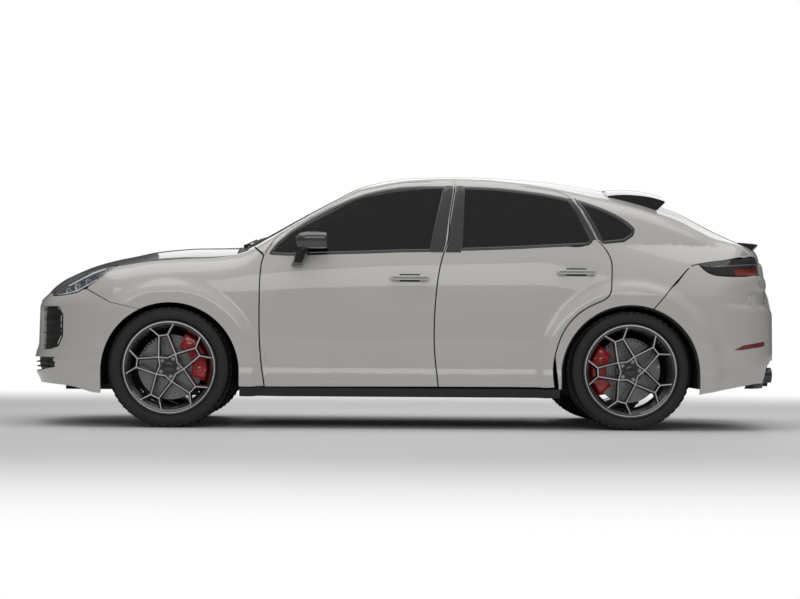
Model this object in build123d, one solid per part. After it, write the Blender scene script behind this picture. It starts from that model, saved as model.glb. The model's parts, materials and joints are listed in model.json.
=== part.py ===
from build123d import *
import math
import os

import numpy as np

# A coupe sport utility vehicle, in millimetres. X runs from the nose (-) to the tail (+),
# Y from the left side (-) to the right side (+), and Z up from the ground.

# Wheels and tyres
WHEELBASE = 2895.0
FRONT_AXLE = -1487.0
REAR_AXLE = FRONT_AXLE + WHEELBASE
TYRE_OUTER_FACE = 982.0
FRONT_TYRE_R, FRONT_TYRE_W = 379.0, 285.0
REAR_TYRE_R, REAR_TYRE_W = 374.0, 315.0
BEAD_R = 283.0
FLANGE_R = 300.0
BARREL_R = 268.0
HUB_R = 80.0
DISC_R = 206.0
KINGPIN_Y = 765.0
HANDLE_REACH = 40.0
EXHAUST_R, EXHAUST_Z = 46.0, 345.0
EXHAUST_Y = (-445.0, -555.0)

# Openings round the wheels
ARCH_Z = 351.0
ARCH_R = 436.0
LINER_WALL = 12.0
# The front lining is thinner and wider, so that the steered tyre clears it
STEER_ROOM, STEERED_WALL = 9.0, 4.0
FRONT_WELL_Y, REAR_WELL_Y = 460.0, 640.0

# Skin depths, measured inwards from the outer surface
GLASS_T = 5.0
PANEL_T = 30.0
FRAME_T = 36.0
DOOR_T = 120.0
NOSE_T = 60.0

# Gaps
DOOR_GAP = 8.0
LID_GAP = 7.0
SEAM = 4.0
CLEARANCE = 8.0
FIT = 0.3

# Heights
KEEL_Z = 100.0
FLOOR_Z = 225.0
FLOOR_T = 30.0
SILL_TOP = 255.0
SILL_INNER_Y = 826.0

SECTIONS = 47
# Heights of the rows of points on the side, then the shares of the run from the shoulder
# to the roof rail, and of the run from there to the centreline
SIDE_ROWS = (100, 200, 250, 300, 345, 390, 435, 480, 525, 570, 640, 710, 780, 850)
UPPER_ROWS = (0.12, 0.24, 0.36, 0.48, 0.62, 0.76, 0.88, 1.0)
TOP_ROWS = (0.12, 0.3, 0.5, 0.75, 1.0)


# Smooth profile curves
def curve(*points):
    """A smooth curve through (x, value) points that never overshoots them."""
    xs = np.array([p[0] for p in points], float)
    vs = np.array([p[1] for p in points], float)
    rise = np.diff(vs) / np.diff(xs)
    slope = np.r_[rise[0], np.zeros(len(xs) - 2), rise[-1]]
    for i in range(1, len(xs) - 1):
        if rise[i - 1] * rise[i] > 0:
            slope[i] = 2 / (1 / rise[i - 1] + 1 / rise[i])

    def value(x):
        x = np.clip(np.asarray(x, float), xs[0], xs[-1])
        i = np.clip(np.searchsorted(xs, x) - 1, 0, len(xs) - 2)
        h = xs[i + 1] - xs[i]
        t = (x - xs[i]) / h
        return ((2 * t**3 - 3 * t**2 + 1) * vs[i] + (t**3 - 2 * t**2 + t) * h * slope[i]
                + (3 * t**2 - 2 * t**3) * vs[i + 1] + (t**3 - t**2) * h * slope[i + 1])

    return value


# Height of the skin on the centreline, from the nose over the roof to the tail
top_height = curve(
    (-2500, 850), (-2440, 850), (-2380, 868), (-2340, 883), (-2272, 923), (-2171, 976),
    (-2036, 1036), (-1902, 1076), (-1767, 1105), (-1632, 1134), (-1498, 1150), (-1363, 1160),
    (-1194, 1163), (-1100, 1165), (-1020, 1180), (-900, 1240), (-689, 1357), (-420, 1500),
    (-305, 1558), (-150, 1603), (-16, 1626), (119, 1635), (254, 1639), (388, 1640),
    (523, 1639), (658, 1633), (793, 1626), (927, 1616), (1062, 1598), (1197, 1578),
    (1331, 1556), (1450, 1532), (1600, 1494), (1803, 1425), (2005, 1318), (2100, 1265),
    (2207, 1216), (2288, 1206), (2500, 1200))
# How far the skin has fallen at 620 mm from the centreline
top_drop = curve(
    (-2450, 30), (-2100, 40), (-1824, 45), (-1568, 50), (-1312, 55), (-1000, 44), (-600, 36),
    (-309, 35), (-161, 44), (-32, 45), (225, 42), (483, 46), (740, 56), (998, 71), (1255, 86),
    (1513, 97), (1770, 108), (1963, 96), (2100, 62), (2207, 42), (2500, 30))
belt_height = curve(
    (-2500, 1040), (-1500, 1060), (-878, 1084), (-481, 1097), (-39, 1114), (466, 1128),
    (970, 1150), (1317, 1170), (1600, 1175), (2000, 1165), (2500, 1150))
belt_half_width = curve(
    (-2500, 800), (-1600, 870), (-1000, 875), (-600, 882), (0, 886), (800, 884), (1200, 858),
    (1500, 815), (1800, 770), (2100, 750), (2500, 740))
waist_half_width = curve(
    (-2500, 930), (-2200, 955), (-1900, 962), (-1483, 962), (-900, 955), (0, 958),
    (900, 960), (1407, 968), (1800, 962), (2200, 950), (2500, 935))
# Offset of the side from the waist width, against height
side_offset = curve(
    (0, -60), (100, -50), (200, -34), (250, -22), (300, -10), (345, -14), (390, -24),
    (480, -12), (570, 0), (700, -4), (850, -14))
nose_x = curve(
    (0, -2400), (100, -2400), (270, -2405), (297, -2415), (337, -2434), (423, -2445),
    (502, -2430), (766, -2424), (799, -2414), (860, -2380), (1000, -2330), (1700, -2300))
tail_x = curve(
    (0, 2380), (100, 2380), (280, 2409), (333, 2423), (428, 2438), (600, 2436), (731, 2434),
    (770, 2422), (805, 2392), (872, 2388), (926, 2394), (965, 2386), (1001, 2356),
    (1129, 2342), (1220, 2330), (1700, 2300))
# Half width of the line between the side rails and the windscreen, roof and tailgate
rail_half_width = curve(
    (-1500, 790), (-1010, 735), (-900, 715), (-600, 672), (-300, 634), (0, 614), (400, 602),
    (800, 592), (1200, 578), (1500, 562), (1800, 556), (2000, 566), (2150, 596), (2240, 640))
SHOULDER_Z = 850.0
FLARE = 30.0
# Share of the sections that tilt over each end
FAN = 0.26
# Widths over which the side, the top and the ends run into each other
ROOF_EDGE_R, SHOULDER_R, END_R = 55.0, 110.0, 110.0


def smooth_step(t):
    t = np.clip(t, 0, 1)
    return t * t * (3 - 2 * t)


def smooth_max(a, b, radius):
    h = np.clip(radius - np.abs(a - b), 0, None) / radius
    return np.maximum(a, b) + h * h * radius * 0.25


def half_width(x, z):
    """Half width of the body at a station and height, with the flares over the wheels."""
    belt_z, belt_y = belt_height(x), belt_half_width(x)
    waist = waist_half_width(x)
    shoulder = waist + side_offset(SHOULDER_Z)
    t = np.clip((z - SHOULDER_Z) / (belt_z - SHOULDER_Z), 0, 1)
    above = shoulder - (shoulder - belt_y) * (0.45 * t + 0.55 * t**2.2)
    rise = np.clip(z - belt_z, 0, None)
    glass = belt_y - 0.36 * rise - 2.3e-4 * rise**2
    y = np.where(z <= SHOULDER_Z, waist + side_offset(z), np.where(z <= belt_z, above, glass))
    for axle, crease in ((FRONT_AXLE, 508.0), (REAR_AXLE, 520.0)):
        y = y + FLARE * smooth_step((crease + 95 - np.hypot(x - axle, z - ARCH_Z)) / 95)
    return y


def outside(x, y, z, depth, door=False):
    """Positive outside the skin moved inwards by the depth, negative inside it."""
    across = np.abs(y)
    side_depth = depth
    end_depth = depth
    if door:
        side_depth = depth + (DOOR_T - FRAME_T) * smooth_step((1085 - z) / 45)
        end_depth = depth + NOSE_T - FRAME_T
    side = across - half_width(x, z) + side_depth
    top = 0.9 * (z - top_height(x) + top_drop(x) * (across / 620)**2) + depth
    sweep = 110 * (across / 700)**2 + 140 * (across / 850)**6
    nose = nose_x(z) + sweep - x + end_depth
    tail = x - tail_x(z) + sweep * 0.75 + end_depth
    edge = ROOF_EDGE_R + (SHOULDER_R - ROOF_EDGE_R) * smooth_step((-850 - x) / 250)
    return smooth_max(smooth_max(smooth_max(side, top, edge), nose, END_R), tail, END_R)


# The skin as closed solids
def section_outline(v, depth, door):
    """One left-hand section of the skin, tilted over the nose and tail: base and points."""
    if v < FAN or v > 1 - FAN:
        s = min(v, 1 - v) / FAN
        pitch = math.radians(90 * s)
        sign = -1 if v < FAN else 1
        base_x = sign * (2080 - 580 * s)
    else:
        pitch, sign = math.pi / 2, 1
        base_x = -1500 + 3000 * (v - FAN) / (1 - 2 * FAN)
    upward = np.array([sign * math.cos(pitch), 0, math.sin(pitch)])
    base = np.array([base_x, 0, KEEL_Z])
    turn = np.linspace(0, math.pi / 2, 700)
    rays = np.outer(np.cos(turn), [0, -1, 0]) + np.outer(np.sin(turn), upward)

    def value(reach):
        p = base + rays * np.asarray(reach)[:, None]
        return outside(p[:, 0], p[:, 1], p[:, 2], depth, door)

    low, high = np.full(len(turn), 100.0), np.full(len(turn), 2600.0)
    for _ in range(34):
        middle = (low + high) / 2
        out = value(middle) > 0
        low, high = np.where(out, low, middle), np.where(out, middle, high)
    return base, base + rays * low[:, None]


def row_places(points):
    """Distances along a section at which its rows of points lie."""
    run = np.r_[0, np.cumsum(np.linalg.norm(np.diff(points, axis=0), axis=1))]
    side = np.interp(SIDE_ROWS, points[:, 2], run)
    rail = np.interp(-rail_half_width(points[0, 0]), points[:, 1], run)
    upper = side[-1] + (rail - side[-1]) * np.array(UPPER_ROWS)
    top = rail + (run[-1] - rail) * np.array(TOP_ROWS)
    return run, np.r_[side, upper, top]


def section(v, depth, door):
    """Points on one left-hand section of the skin, from the keel up to the centreline."""
    base, points = section_outline(v, depth, door)
    nearest_upright = min(max(v, FAN), 1 - FAN)
    run, places = row_places(section_outline(nearest_upright, depth, door)[1])
    own_run = np.r_[0, np.cumsum(np.linalg.norm(np.diff(points, axis=0), axis=1))]
    tilt = 1 - min(v, 1 - v, FAN) / FAN
    shares = places / run[-1]
    even = np.linspace(0, 1, len(shares))
    shares = shares + (even - shares) * smooth_step(tilt)
    at = np.interp(shares * own_run[-1], own_run, np.arange(len(points)))
    low = np.floor(at).astype(int).clip(0, len(points) - 2)
    points = points[low] + (points[low + 1] - points[low]) * (at - low)[:, None]
    points[-1, 1] = 0
    return [tuple(float(c) for c in p) for p in points], tuple(float(c) for c in base)


def left_half(depth, door=False):
    """The closed left half of the body, inside the skin at a depth."""
    wires = []
    middle, _ = section(0.5, depth, door)
    run = np.r_[0, np.cumsum([math.dist(a, b) for a, b in zip(middle, middle[1:])])]
    shared = [float(r) for r in run / run[-1]]
    for v in np.linspace(0, 1, SECTIONS):
        points, base = section(v, depth, door)
        rib = Edge.make_spline([Vector(*p) for p in points], parameters=shared)
        wires.append(Wire([rib, Line(points[-1], base), Line(base, points[0])]))
    return Solid.make_loft(wires)


# Outlines and prisms
def loop(runs, place):
    """A planar face bounded by runs of points: two points make a line, more a spline."""
    edges = []
    for run in runs:
        points = [place(*p) for p in run]
        edges.append(Line(*points) if len(points) == 2 else Spline(*points))
    return Face(Wire(edges))


def side_prism(runs, y_low=-1200.0, y_high=0.0):
    """An outline in side view, (x, z), run through from one Y to another."""
    face = loop(runs, lambda x, z: (x, y_low, z))
    return Solid.extrude(face, Vector(0, y_high - y_low, 0))


def plan_prism(runs, z_low=0.0, z_high=1900.0):
    """An outline in plan, (x, y), run up from one height to another."""
    face = loop(runs, lambda x, y: (x, y, z_low))
    return Solid.extrude(face, Vector(0, 0, z_high - z_low))


def end_prism(runs, x_low, x_high):
    """An outline in end view, (y, z), run along from one X to another."""
    face = loop(runs, lambda y, z: (x_low, y, z))
    return Solid.extrude(face, Vector(x_high - x_low, 0, 0))


def polygon(*points):
    """Straight runs round a list of corners."""
    return [[a, b] for a, b in zip(points, points[1:] + points[:1])]


def grow(runs, amount):
    """The same closed outline moved outwards by an amount, or inwards if negative."""
    flat = [p for run in runs for p in run[:-1]]
    n = len(flat)
    area = sum(flat[i][0] * flat[(i + 1) % n][1] - flat[(i + 1) % n][0] * flat[i][1]
               for i in range(n))
    sign = 1 if area > 0 else -1
    moved = []
    for i in range(n):
        before, here, after = flat[i - 1], flat[i], flat[(i + 1) % n]
        normals = []
        for a, b in ((before, here), (here, after)):
            dx, dy = b[0] - a[0], b[1] - a[1]
            length = math.hypot(dx, dy)
            normals.append((sign * dy / length, -sign * dx / length))
        mx, my = normals[0][0] + normals[1][0], normals[0][1] + normals[1][1]
        scale = 2 * amount / max(mx * mx + my * my, 0.5)
        moved.append((here[0] + mx * scale, here[1] + my * scale))
    result, i = [], 0
    for run in runs:
        k = len(run) - 1
        result.append([moved[(i + j) % n] for j in range(k + 1)])
        i += k
    return result


def box(x0, x1, y0, y1, z0, z1):
    return Pos((x0 + x1) / 2, (y0 + y1) / 2, (z0 + z1) / 2) * Box(x1 - x0, y1 - y0, z1 - z0)


def solids(shape):
    """The solids of a shape, largest first, without the crumbs a cut can leave."""
    found = sorted(shape.solids(), key=lambda s: -s.volume)
    return [s for s in found if s.volume > 2000]


def right(shape):
    return mirror(shape, Plane.XZ)


def pair(shape):
    """A left-hand piece and its mirror image, kept as separate solids."""
    return Compound(children=solids(shape) + solids(right(shape)))


def whole(shape):
    """A left half and its mirror image, joined on the centreline."""
    left = solids(shape)
    joined = left[0]
    for piece in left[1:]:
        joined = joined + piece
    return joined + right(joined)


def bar(p, q, width, z0, z1):
    """A straight horizontal bar in plan between two points."""
    dx, dy = q[0] - p[0], q[1] - p[1]
    s = width / 2 / math.hypot(dx, dy)
    nx, ny = -dy * s, dx * s
    return plan_prism(polygon((p[0] + nx, p[1] + ny), (q[0] + nx, q[1] + ny),
                              (q[0] - nx, q[1] - ny), (p[0] - nx, p[1] - ny)), z0, z1)


def along_y(radius, x, z, y0, y1):
    return Pos(x, (y0 + y1) / 2, z) * Rot(90, 0, 0) * Cylinder(radius, abs(y1 - y0))


# Outlines of the panels
FRONT_EDGE = [(-893, 1090), (-909, 1045), (-915, 999), (-919, 937), (-921, 811), (-921, 686),
              (-916, 529), (-904, 403), (-893, 322), (-886, 262)]
DOOR_SPLIT = [(312, 1568), (300, 1480), (276, 1348), (250, 1157), (235, 1117), (216, 1055),
              (197, 961), (185, 867), (175, 741), (171, 616), (175, 491), (188, 365), (199, 268)]
FRONT_ROOF_EDGE = [(-893, 1090), (-834, 1180), (-738, 1270), (-610, 1354), (-482, 1423),
                   (-354, 1480), (-258, 1515), (-162, 1541), (-34, 1561), (94, 1568),
                   (222, 1570), (312, 1568)]
REAR_ROOF_EDGE = [(320, 1568), (478, 1564), (606, 1557), (734, 1543), (862, 1526),
                  (989, 1503), (1045, 1491)]
REAR_EDGE = [(1045, 1491), (1105, 1404), (1160, 1300), (1212, 1190)]
REAR_LOWER_EDGE = [(1212, 1190), (1262, 1128), (1288, 1067), (1291, 1000), (1286, 923),
                   (1268, 850), (1180, 796), (1070, 728), (985, 625), (940, 510), (922, 400),
                   (930, 269)]

FRONT_DOOR = [FRONT_ROOF_EDGE, DOOR_SPLIT, [DOOR_SPLIT[-1], FRONT_EDGE[-1]], FRONT_EDGE[::-1]]
REAR_SPLIT = [(x + DOOR_GAP, z) for x, z in DOOR_SPLIT]
REAR_DOOR = [REAR_ROOF_EDGE, REAR_EDGE, REAR_LOWER_EDGE, [REAR_LOWER_EDGE[-1], REAR_SPLIT[-1]],
             REAR_SPLIT[::-1]]
REAR_DOOR[0] = [REAR_SPLIT[0]] + REAR_ROOF_EDGE[1:]

FRONT_WINDOW = [[(-862, 1098), (-812, 1168), (-728, 1244), (-606, 1326), (-478, 1396),
                 (-352, 1452), (-258, 1486), (-162, 1511), (-34, 1532), (94, 1539),
                 (252, 1539)], [(252, 1539), (155, 1122)],
                [(155, 1122), (-39, 1118), (-481, 1102), (-733, 1092), (-862, 1098)]]
REAR_WINDOW = [[(366, 1538), (478, 1535), (606, 1528), (734, 1514), (862, 1497), (989, 1474),
                (1030, 1465)], [(1030, 1465), (1085, 1394), (1180, 1196)],
               [(1180, 1196), (1150, 1170), (970, 1160), (718, 1145), (466, 1134), (342, 1130)],
               [(342, 1130), (366, 1538)]]
QUARTER_WINDOW = [[(1080, 1459), (1117, 1448), (1245, 1403), (1309, 1374), (1373, 1338),
                   (1425, 1299), (1450, 1268)], [(1450, 1268), (1437, 1232), (1380, 1195),
                                                 (1240, 1180)],
                  [(1240, 1180), (1190, 1290), (1130, 1396), (1080, 1459)]]

BONNET_LINE = [(-1075, -742), (-1150, -772), (-1300, -784), (-1560, -797), (-1838, -791)]

LAMP_TOP = [(-2258, 843), (-2232, 862), (-2175, 894), (-2111, 925), (-2047, 957),
            (-1983, 988), (-1919, 1013), (-1868, 1023), (-1843, 1026)]
LAMP_LOW = [(-1843, 1026), (-1843, 1010), (-1868, 990), (-1919, 947), (-1983, 903),
            (-2028, 878), (-2079, 851), (-2143, 837), (-2207, 830), (-2258, 830)]
HEADLAMP = [LAMP_TOP, LAMP_LOW, [LAMP_LOW[-1], LAMP_TOP[0]]]
TAIL_LAMP_TOP = [(1852, 1051), (1954, 1070), (2083, 1085), (2198, 1097), (2500, 1110)]
TAIL_LAMP_LOW = [(2500, 985), (2214, 982), (1954, 982), (1916, 993), (1878, 1019),
                 (1852, 1051)]
TAIL_LAMP = [TAIL_LAMP_TOP, [TAIL_LAMP_TOP[-1], TAIL_LAMP_LOW[0]], TAIL_LAMP_LOW]
LAMP_INNER_Y = 560.0
TAILGATE_SIDE_Y = 640.0
TAILGATE_FRONT = 1305.0
TAILGATE_LOW = 778.0
COWL_FRONT, COWL_REAR = -1068.0, -1005.0
HEADER = -300.0


def arch_tool(axle, radius=ARCH_R, inner_y=0.0):
    """The space of one wheel opening, round above and straight below."""
    inner_y = inner_y or well_inner_y(axle)
    hole = along_y(radius, axle + 2, ARCH_Z, -1200, -inner_y)
    return hole + box(axle + 2 - radius, axle + 2 + radius, -1200, -inner_y, 0, ARCH_Z)


def well_inner_y(axle):
    return FRONT_WELL_Y if axle < 0 else REAR_WELL_Y


def between_rails(x0, x1, gap=0.0):
    """The left half of the space between the rail lines, from one station to another."""
    line = [(float(x), gap - float(rail_half_width(x))) for x in np.linspace(-1100, 2240, 30)]
    region = plan_prism([line, [line[-1], (2240, 0)], [(2240, 0), (-1100, 0)],
                         [(-1100, 0), line[0]]])
    return region & box(x0, x1, -1200, 0, 0, 1900)


def skin_half_width(x, z):
    """Half width of the finished skin at a station and height."""
    low, high = 100.0, 1100.0
    for _ in range(30):
        middle = (low + high) / 2
        if outside(x, middle, z, 0) > 0:
            high = middle
        else:
            low = middle
    return low


def door_room(margin):
    """Left space outboard of the doors' top edges, moved inwards by a margin."""
    edge = FRONT_ROOF_EDGE + REAR_ROOF_EDGE[1:] + REAR_EDGE[1:]
    line = [(x, margin - skin_half_width(x, z)) for x, z in edge[::2]]
    first, last = line[0], line[-1]
    return plan_prism([[(-1300, first[1]), first], line, [last, (1500, last[1])],
                       [(1500, last[1]), (1500, -1300)], [(1500, -1300), (-1300, -1300)],
                       [(-1300, -1300), (-1300, first[1])]])


# Skin panels
def make_handle(outer, x0, x1, z):
    """A left pull handle: a bar that stands off the skin on a foot at each end."""
    y = -skin_half_width((x0 + x1) / 2, z) - HANDLE_REACH
    grip = box(x0, x1, y, y + 14, z - 11, z + 11)
    grip = fillet(grip.edges().filter_by(Axis.Y), 9)
    feet = box(x0 + 12, x0 + 52, y + 7, -900, z - 9, z + 9) + box(
        x1 - 52, x1 - 12, y + 7, -900, z - 9, z + 9)
    return (grip + feet) - outer


def make_doors(outer, glass_depth, door_depth):
    """Front and rear left doors with their handles, and their glass."""
    made = {}
    for name, outline, window, handle in (
            ("front_door", FRONT_DOOR, FRONT_WINDOW, (-98, 140, 950)),
            ("rear_door", REAR_DOOR, REAR_WINDOW, (949, 1187, 993))):
        panel = (outer & side_prism(outline, y_high=-500) & door_room(4)) - door_depth
        flange = side_prism(grow(outline, 40), y_high=-500) - side_prism(
            grow(outline, -20), y_high=-500)
        panel = panel - (glass_depth & flange)
        hole = side_prism(window, y_high=-500)
        panel = panel - hole
        made[name] = solids(solids(panel)[0] + make_handle(outer, *handle))[0]
        made[name + "_glass"] = solids((outer & hole) - glass_depth)[0]
    return made


def door_opening():
    """Everything that the two left doors and the gap round them take up."""
    around = grow([FRONT_ROOF_EDGE + REAR_ROOF_EDGE[1:], REAR_EDGE, REAR_LOWER_EDGE,
                   [REAR_LOWER_EDGE[-1], FRONT_EDGE[-1]], FRONT_EDGE[::-1]], DOOR_GAP)
    return side_prism(around, y_high=-400) & door_room(12)


def make_body_side(shell):
    """The left side frame: windscreen pillar, roof rail, rear pillar and rear wing."""
    outline = polygon((-899, 1098), (-1005, 1186), (-1005, 1750), (2700, 1750), (2700, 1116),
                      (2198, 1101), (2083, 1089), (1954, 1074), (1850, 1055), (1810, 1043),
                      (1772, 1018), (1668, 905), (1496, 706), (1407, 700), (1407, SILL_TOP),
                      (960, SILL_TOP),
                      (900, 800), (-899, 1000))
    side = shell & side_prism(outline)
    side = side - door_opening() - arch_tool(REAR_AXLE)
    inner = between_rails(-1100, 2240) + box(2239, 2700, -TAILGATE_SIDE_Y - LID_GAP, 0, 0, 1900)
    side = side - inner
    window = side_prism(QUARTER_WINDOW, y_high=-500)
    return side - window, window


def make_front_fender(shell):
    door_side = [(x - DOOR_GAP, z) for x, z in FRONT_EDGE[1:]]
    outline = [[(-906, 1086), *door_side], [door_side[-1], (-1483, 262)],
               [(-1483, 262), (-1483, 700)], [(-1483, 700), (-1862, 788)],
               [(-1862, 788), (-2014, 872)],
               [(-2014, 872), (-1920, 980)], [(-1920, 980), (-1838, 1012)],
               [(-1838, 1012), (-1838, 1300)], [(-1838, 1300), (-1008, 1300)],
               [(-1008, 1300), (-1008, 1180)], [(-1008, 1180), (-906, 1086)]]
    fender = shell & side_prism(outline)
    lid = [(x, y - LID_GAP) for x, y in BONNET_LINE]
    inside = plan_prism([lid, [lid[-1], (-2500, -791)], [(-2500, -791), (-2500, 0)],
                         [(-2500, 0), (-880, 0)], [(-880, 0), (-880, -714)],
                         [(-880, -714), (-1010, -738)], [(-1010, -738), lid[0]]])
    fender = fender - inside - arch_tool(FRONT_AXLE)
    return fender - side_prism(grow(HEADLAMP, SEAM), y_high=-500)


def make_bonnet(outer, door_depth):
    outline = polygon((-2500, 876), (-2345, 876), (-2262, 845), (-2130, 880), (-1960, 960),
                      (-1834, 1018), (-1834, 800), (-1075, 800), (-1075, 1400), (-2500, 1400))
    lid = (outer & side_prism(outline)) - door_depth
    lid = lid - side_prism(grow(HEADLAMP, LID_GAP), y_high=-500)
    plan = plan_prism([BONNET_LINE, [BONNET_LINE[-1], (-1838, -1000)],
                       [(-1838, -1000), (-2500, -1000)], [(-2500, -1000), (-2500, 0)],
                       [(-2500, 0), (-1075, 0)], [(-1075, 0), BONNET_LINE[0]]])
    return lid & plan


def make_front_bumper(shell, inner, door_depth):
    outline = [[(-2700, 870), (-2350, 870)], [(-2350, 870), (-2264, 838)],
               [(-2264, 838), (-2020, 868)], [(-2020, 868), (-1864, 784)],
               [(-1864, 784), (-1483, 700)], [(-1483, 700), (-1483, 215)],
               [(-1483, 215), (-1933, 215)],
               [(-1933, 215), (-2003, 225), (-2066, 244), (-2193, 262), (-2335, 270)],
               [(-2335, 270), (-2700, 270)], [(-2700, 270), (-2700, 870)]]
    bumper = (shell & side_prism(outline)) - arch_tool(FRONT_AXLE)
    bumper = bumper - side_prism(grow(HEADLAMP, SEAM), y_high=-500)
    side_hole = side_prism(polygon((-2700, 761), (-2207, 760), (-2175, 708), (-2175, 568),
                                   (-2207, 504), (-2271, 486), (-2700, 486)), y_high=-560)
    middle_hole = end_prism(polygon((0, 792), (-455, 792), (-490, 730), (-470, 520),
                                    (-400, 486), (0, 486)), -2700, -2000)
    low_hole = end_prism(polygon((0, 436), (-560, 436), (-790, 436), (-770, 372), (-560, 345),
                                 (0, 345)), -2700, -2225)
    bumper = bumper - side_hole - middle_hole - low_hole
    back = (inner & box(-2700, -2120, -930, 0, 320, 815)) - door_depth
    return bumper, back


def make_rear_bumper(shell, inner, door_depth):
    outline = [[(1846, 1045), (1812, 1036), (1776, 1010), (1672, 899)],
               [(1672, 899), (1500, 700)], [(1500, 700), (1500, 228)],
               [(1500, 228), (1848, 228)],
               [(1848, 228), (1942, 246), (2036, 264), (2162, 286), (2225, 296)],
               [(2225, 296), (2700, 300)], [(2700, 300), (2700, 979)],
               [(2700, 979), (2214, 1000)], [(2214, 1000), (1846, 1045)]]
    bumper = (shell & side_prism(outline)) - arch_tool(REAR_AXLE)
    bumper = bumper - side_prism(grow(TAIL_LAMP, SEAM), y_high=-500)
    bumper = bumper - box(2100, 2700, -TAILGATE_SIDE_Y - LID_GAP, 0, TAILGATE_LOW - LID_GAP,
                          1200)
    hole = end_prism(polygon((0, 440), (-640, 440), (-720, 400), (-740, 200), (0, 200)),
                     2100, 2700)
    diffuser = (inner & box(2060, 2700, -780, 0, 262, 470)) - door_depth
    for y in EXHAUST_Y:
        diffuser = diffuser - Pos(2340, y, EXHAUST_Z) * Rot(0, 90, 0) * Cylinder(
            EXHAUST_R + SEAM, 400)
    return bumper - hole, diffuser


def make_tailgate(outer, glass_depth, door_depth):
    region = between_rails(TAILGATE_FRONT, 2240, LID_GAP) + box(
        2240, 2700, -TAILGATE_SIDE_Y, 0, 0, 1900)
    region = region - box(1000, 2700, -1200, 0, 0, TAILGATE_LOW)
    region = region - box(1000, 2120, -1200, 0, 0, 1150)
    lid = (outer & region) - door_depth
    hole = between_rails(1420, 2175, LID_GAP + 40) & box(1400, 2175, -1200, 0, 1100, 1900)
    glass = (outer & hole) - glass_depth
    return lid - hole, glass


def wing(outer, half_width_y, drop, sweep, runs):
    """Half of a wing across the tail: its section falls and moves in towards the end."""
    wires = []
    for y in np.linspace(0, -half_width_y, 5):
        t = (y / half_width_y)**2
        wires.append(loop(runs, lambda x, z: (x - sweep * t, float(y), z - drop * t))
                     .outer_wire())
    return Pos(FIT, 0, FIT) * (Solid.make_loft(wires) - outer)


def make_spoilers(outer):
    """The wing over the rear window and the lip at the end of the tailgate."""
    roof = wing(outer, 545, 62, 20, [
        [(1331, 1380), (1331, 1561)], [(1331, 1561), (1420, 1569), (1500, 1567), (1635, 1548),
                                       (1702, 1527)],
        [(1702, 1527), (1700, 1517)], [(1700, 1517), (1664, 1483)], [(1664, 1483), (1610, 1440)],
        [(1610, 1440), (1331, 1380)]])
    lip = wing(outer, 600, 22, 95, [
        [(2200, 1120), (2200, 1219)], [(2200, 1219), (2288, 1214), (2352, 1207)],
        [(2352, 1207), (2355, 1199)], [(2355, 1199), (2330, 1172), (2298, 1158)],
        [(2298, 1158), (2200, 1120)]])
    return roof, lip


def make_exhaust():
    """Left silencer under the load floor with its two tail pipes."""
    silencer = box(2045, 2235, -610, -390, 300, 500)
    silencer = fillet(silencer.edges().filter_by(Axis.Y), 40)
    silencer = silencer + box(2080, 2200, -600, -400, 440, 500)
    for y in EXHAUST_Y:
        pipe = Pos(2296, y, EXHAUST_Z) * Rot(0, 90, 0) * Cylinder(EXHAUST_R, 150)
        bore = Pos(2316, y, EXHAUST_Z) * Rot(0, 90, 0) * Cylinder(EXHAUST_R - 3, 150)
        silencer = silencer + (pipe - bore)
    return silencer


def make_lamps(outer, door_depth):
    """Left headlamp and tail lamp."""
    headlamp = (outer & side_prism(HEADLAMP, y_high=-LAMP_INNER_Y)) - door_depth
    rear = side_prism(TAIL_LAMP, y_high=-TAILGATE_SIDE_Y - LID_GAP)
    return headlamp, (outer & rear) - door_depth


# Structure and cabin
def make_structure(inner, door_depth, room):
    """Floor, sills, bulkheads, pillars, rails and end carriers, as one left half."""
    middle = [
        box(-1030, 950, -SILL_INNER_Y, 0, FLOOR_Z, FLOOR_Z + FLOOR_T),
        box(940, 1110, -628, 0, FLOOR_Z, FLOOR_Z + FLOOR_T),
        box(-1000, 940, -SILL_INNER_Y, -760, FLOOR_Z, 400),
        box(-1040, -1010, -SILL_INNER_Y, 0, FLOOR_Z, 1040),
        box(-1030, -1005, -SILL_INNER_Y, -700, FLOOR_Z, 1060),
        box(-2200, -1030, -FRONT_WELL_Y, -445, FLOOR_Z, 800),
        box(-2250, -1030, -450, -380, 400, 500),
        box(1085, 1110, -628, 0, FLOOR_Z, 585),
        box(1085, 2250, -628, 0, 560, 585),
        box(980, 2020, -REAR_WELL_Y, -628, 290, 860),
        box(1560, 1590, -628, 0, 400, 585),
        box(225, 300, -780, -735, 390, 1040),
    ]
    middle.append(end_prism(polygon((-770, 1000), (-632, 1530), (-590, 1530), (-725, 1000)),
                            225, 300))
    pillar_top = box(225, 300, -632, -570, 1490, 1650)
    ends = [
        box(-2320, -2190, -640, 0, 380, 700),
        box(-2200, -2160, -640, -380, 380, 700),
        box(2000, 2330, -628, 0, 500, 585),
        box(2300, 2345, -628, 0, 480, 740),
        box(-2200, -2050, -780, -380, 660, 700),
        box(-2150, -2080, -780, -700, 660, 890),
        box(2060, 2200, -760, -628, 500, 1060),
    ]
    body = middle[0]
    for piece in middle[1:]:
        body = body + piece
    body = body & room
    arm_z = REAR_TYRE_R + 102
    body = body - box(REAR_AXLE - 50, REAR_AXLE + 50, -650, -620, arm_z - 22, arm_z + 22)
    for piece in ends:
        body = body + (piece & door_depth)
    return body + ((pillar_top & inner) - door_opening())


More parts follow.
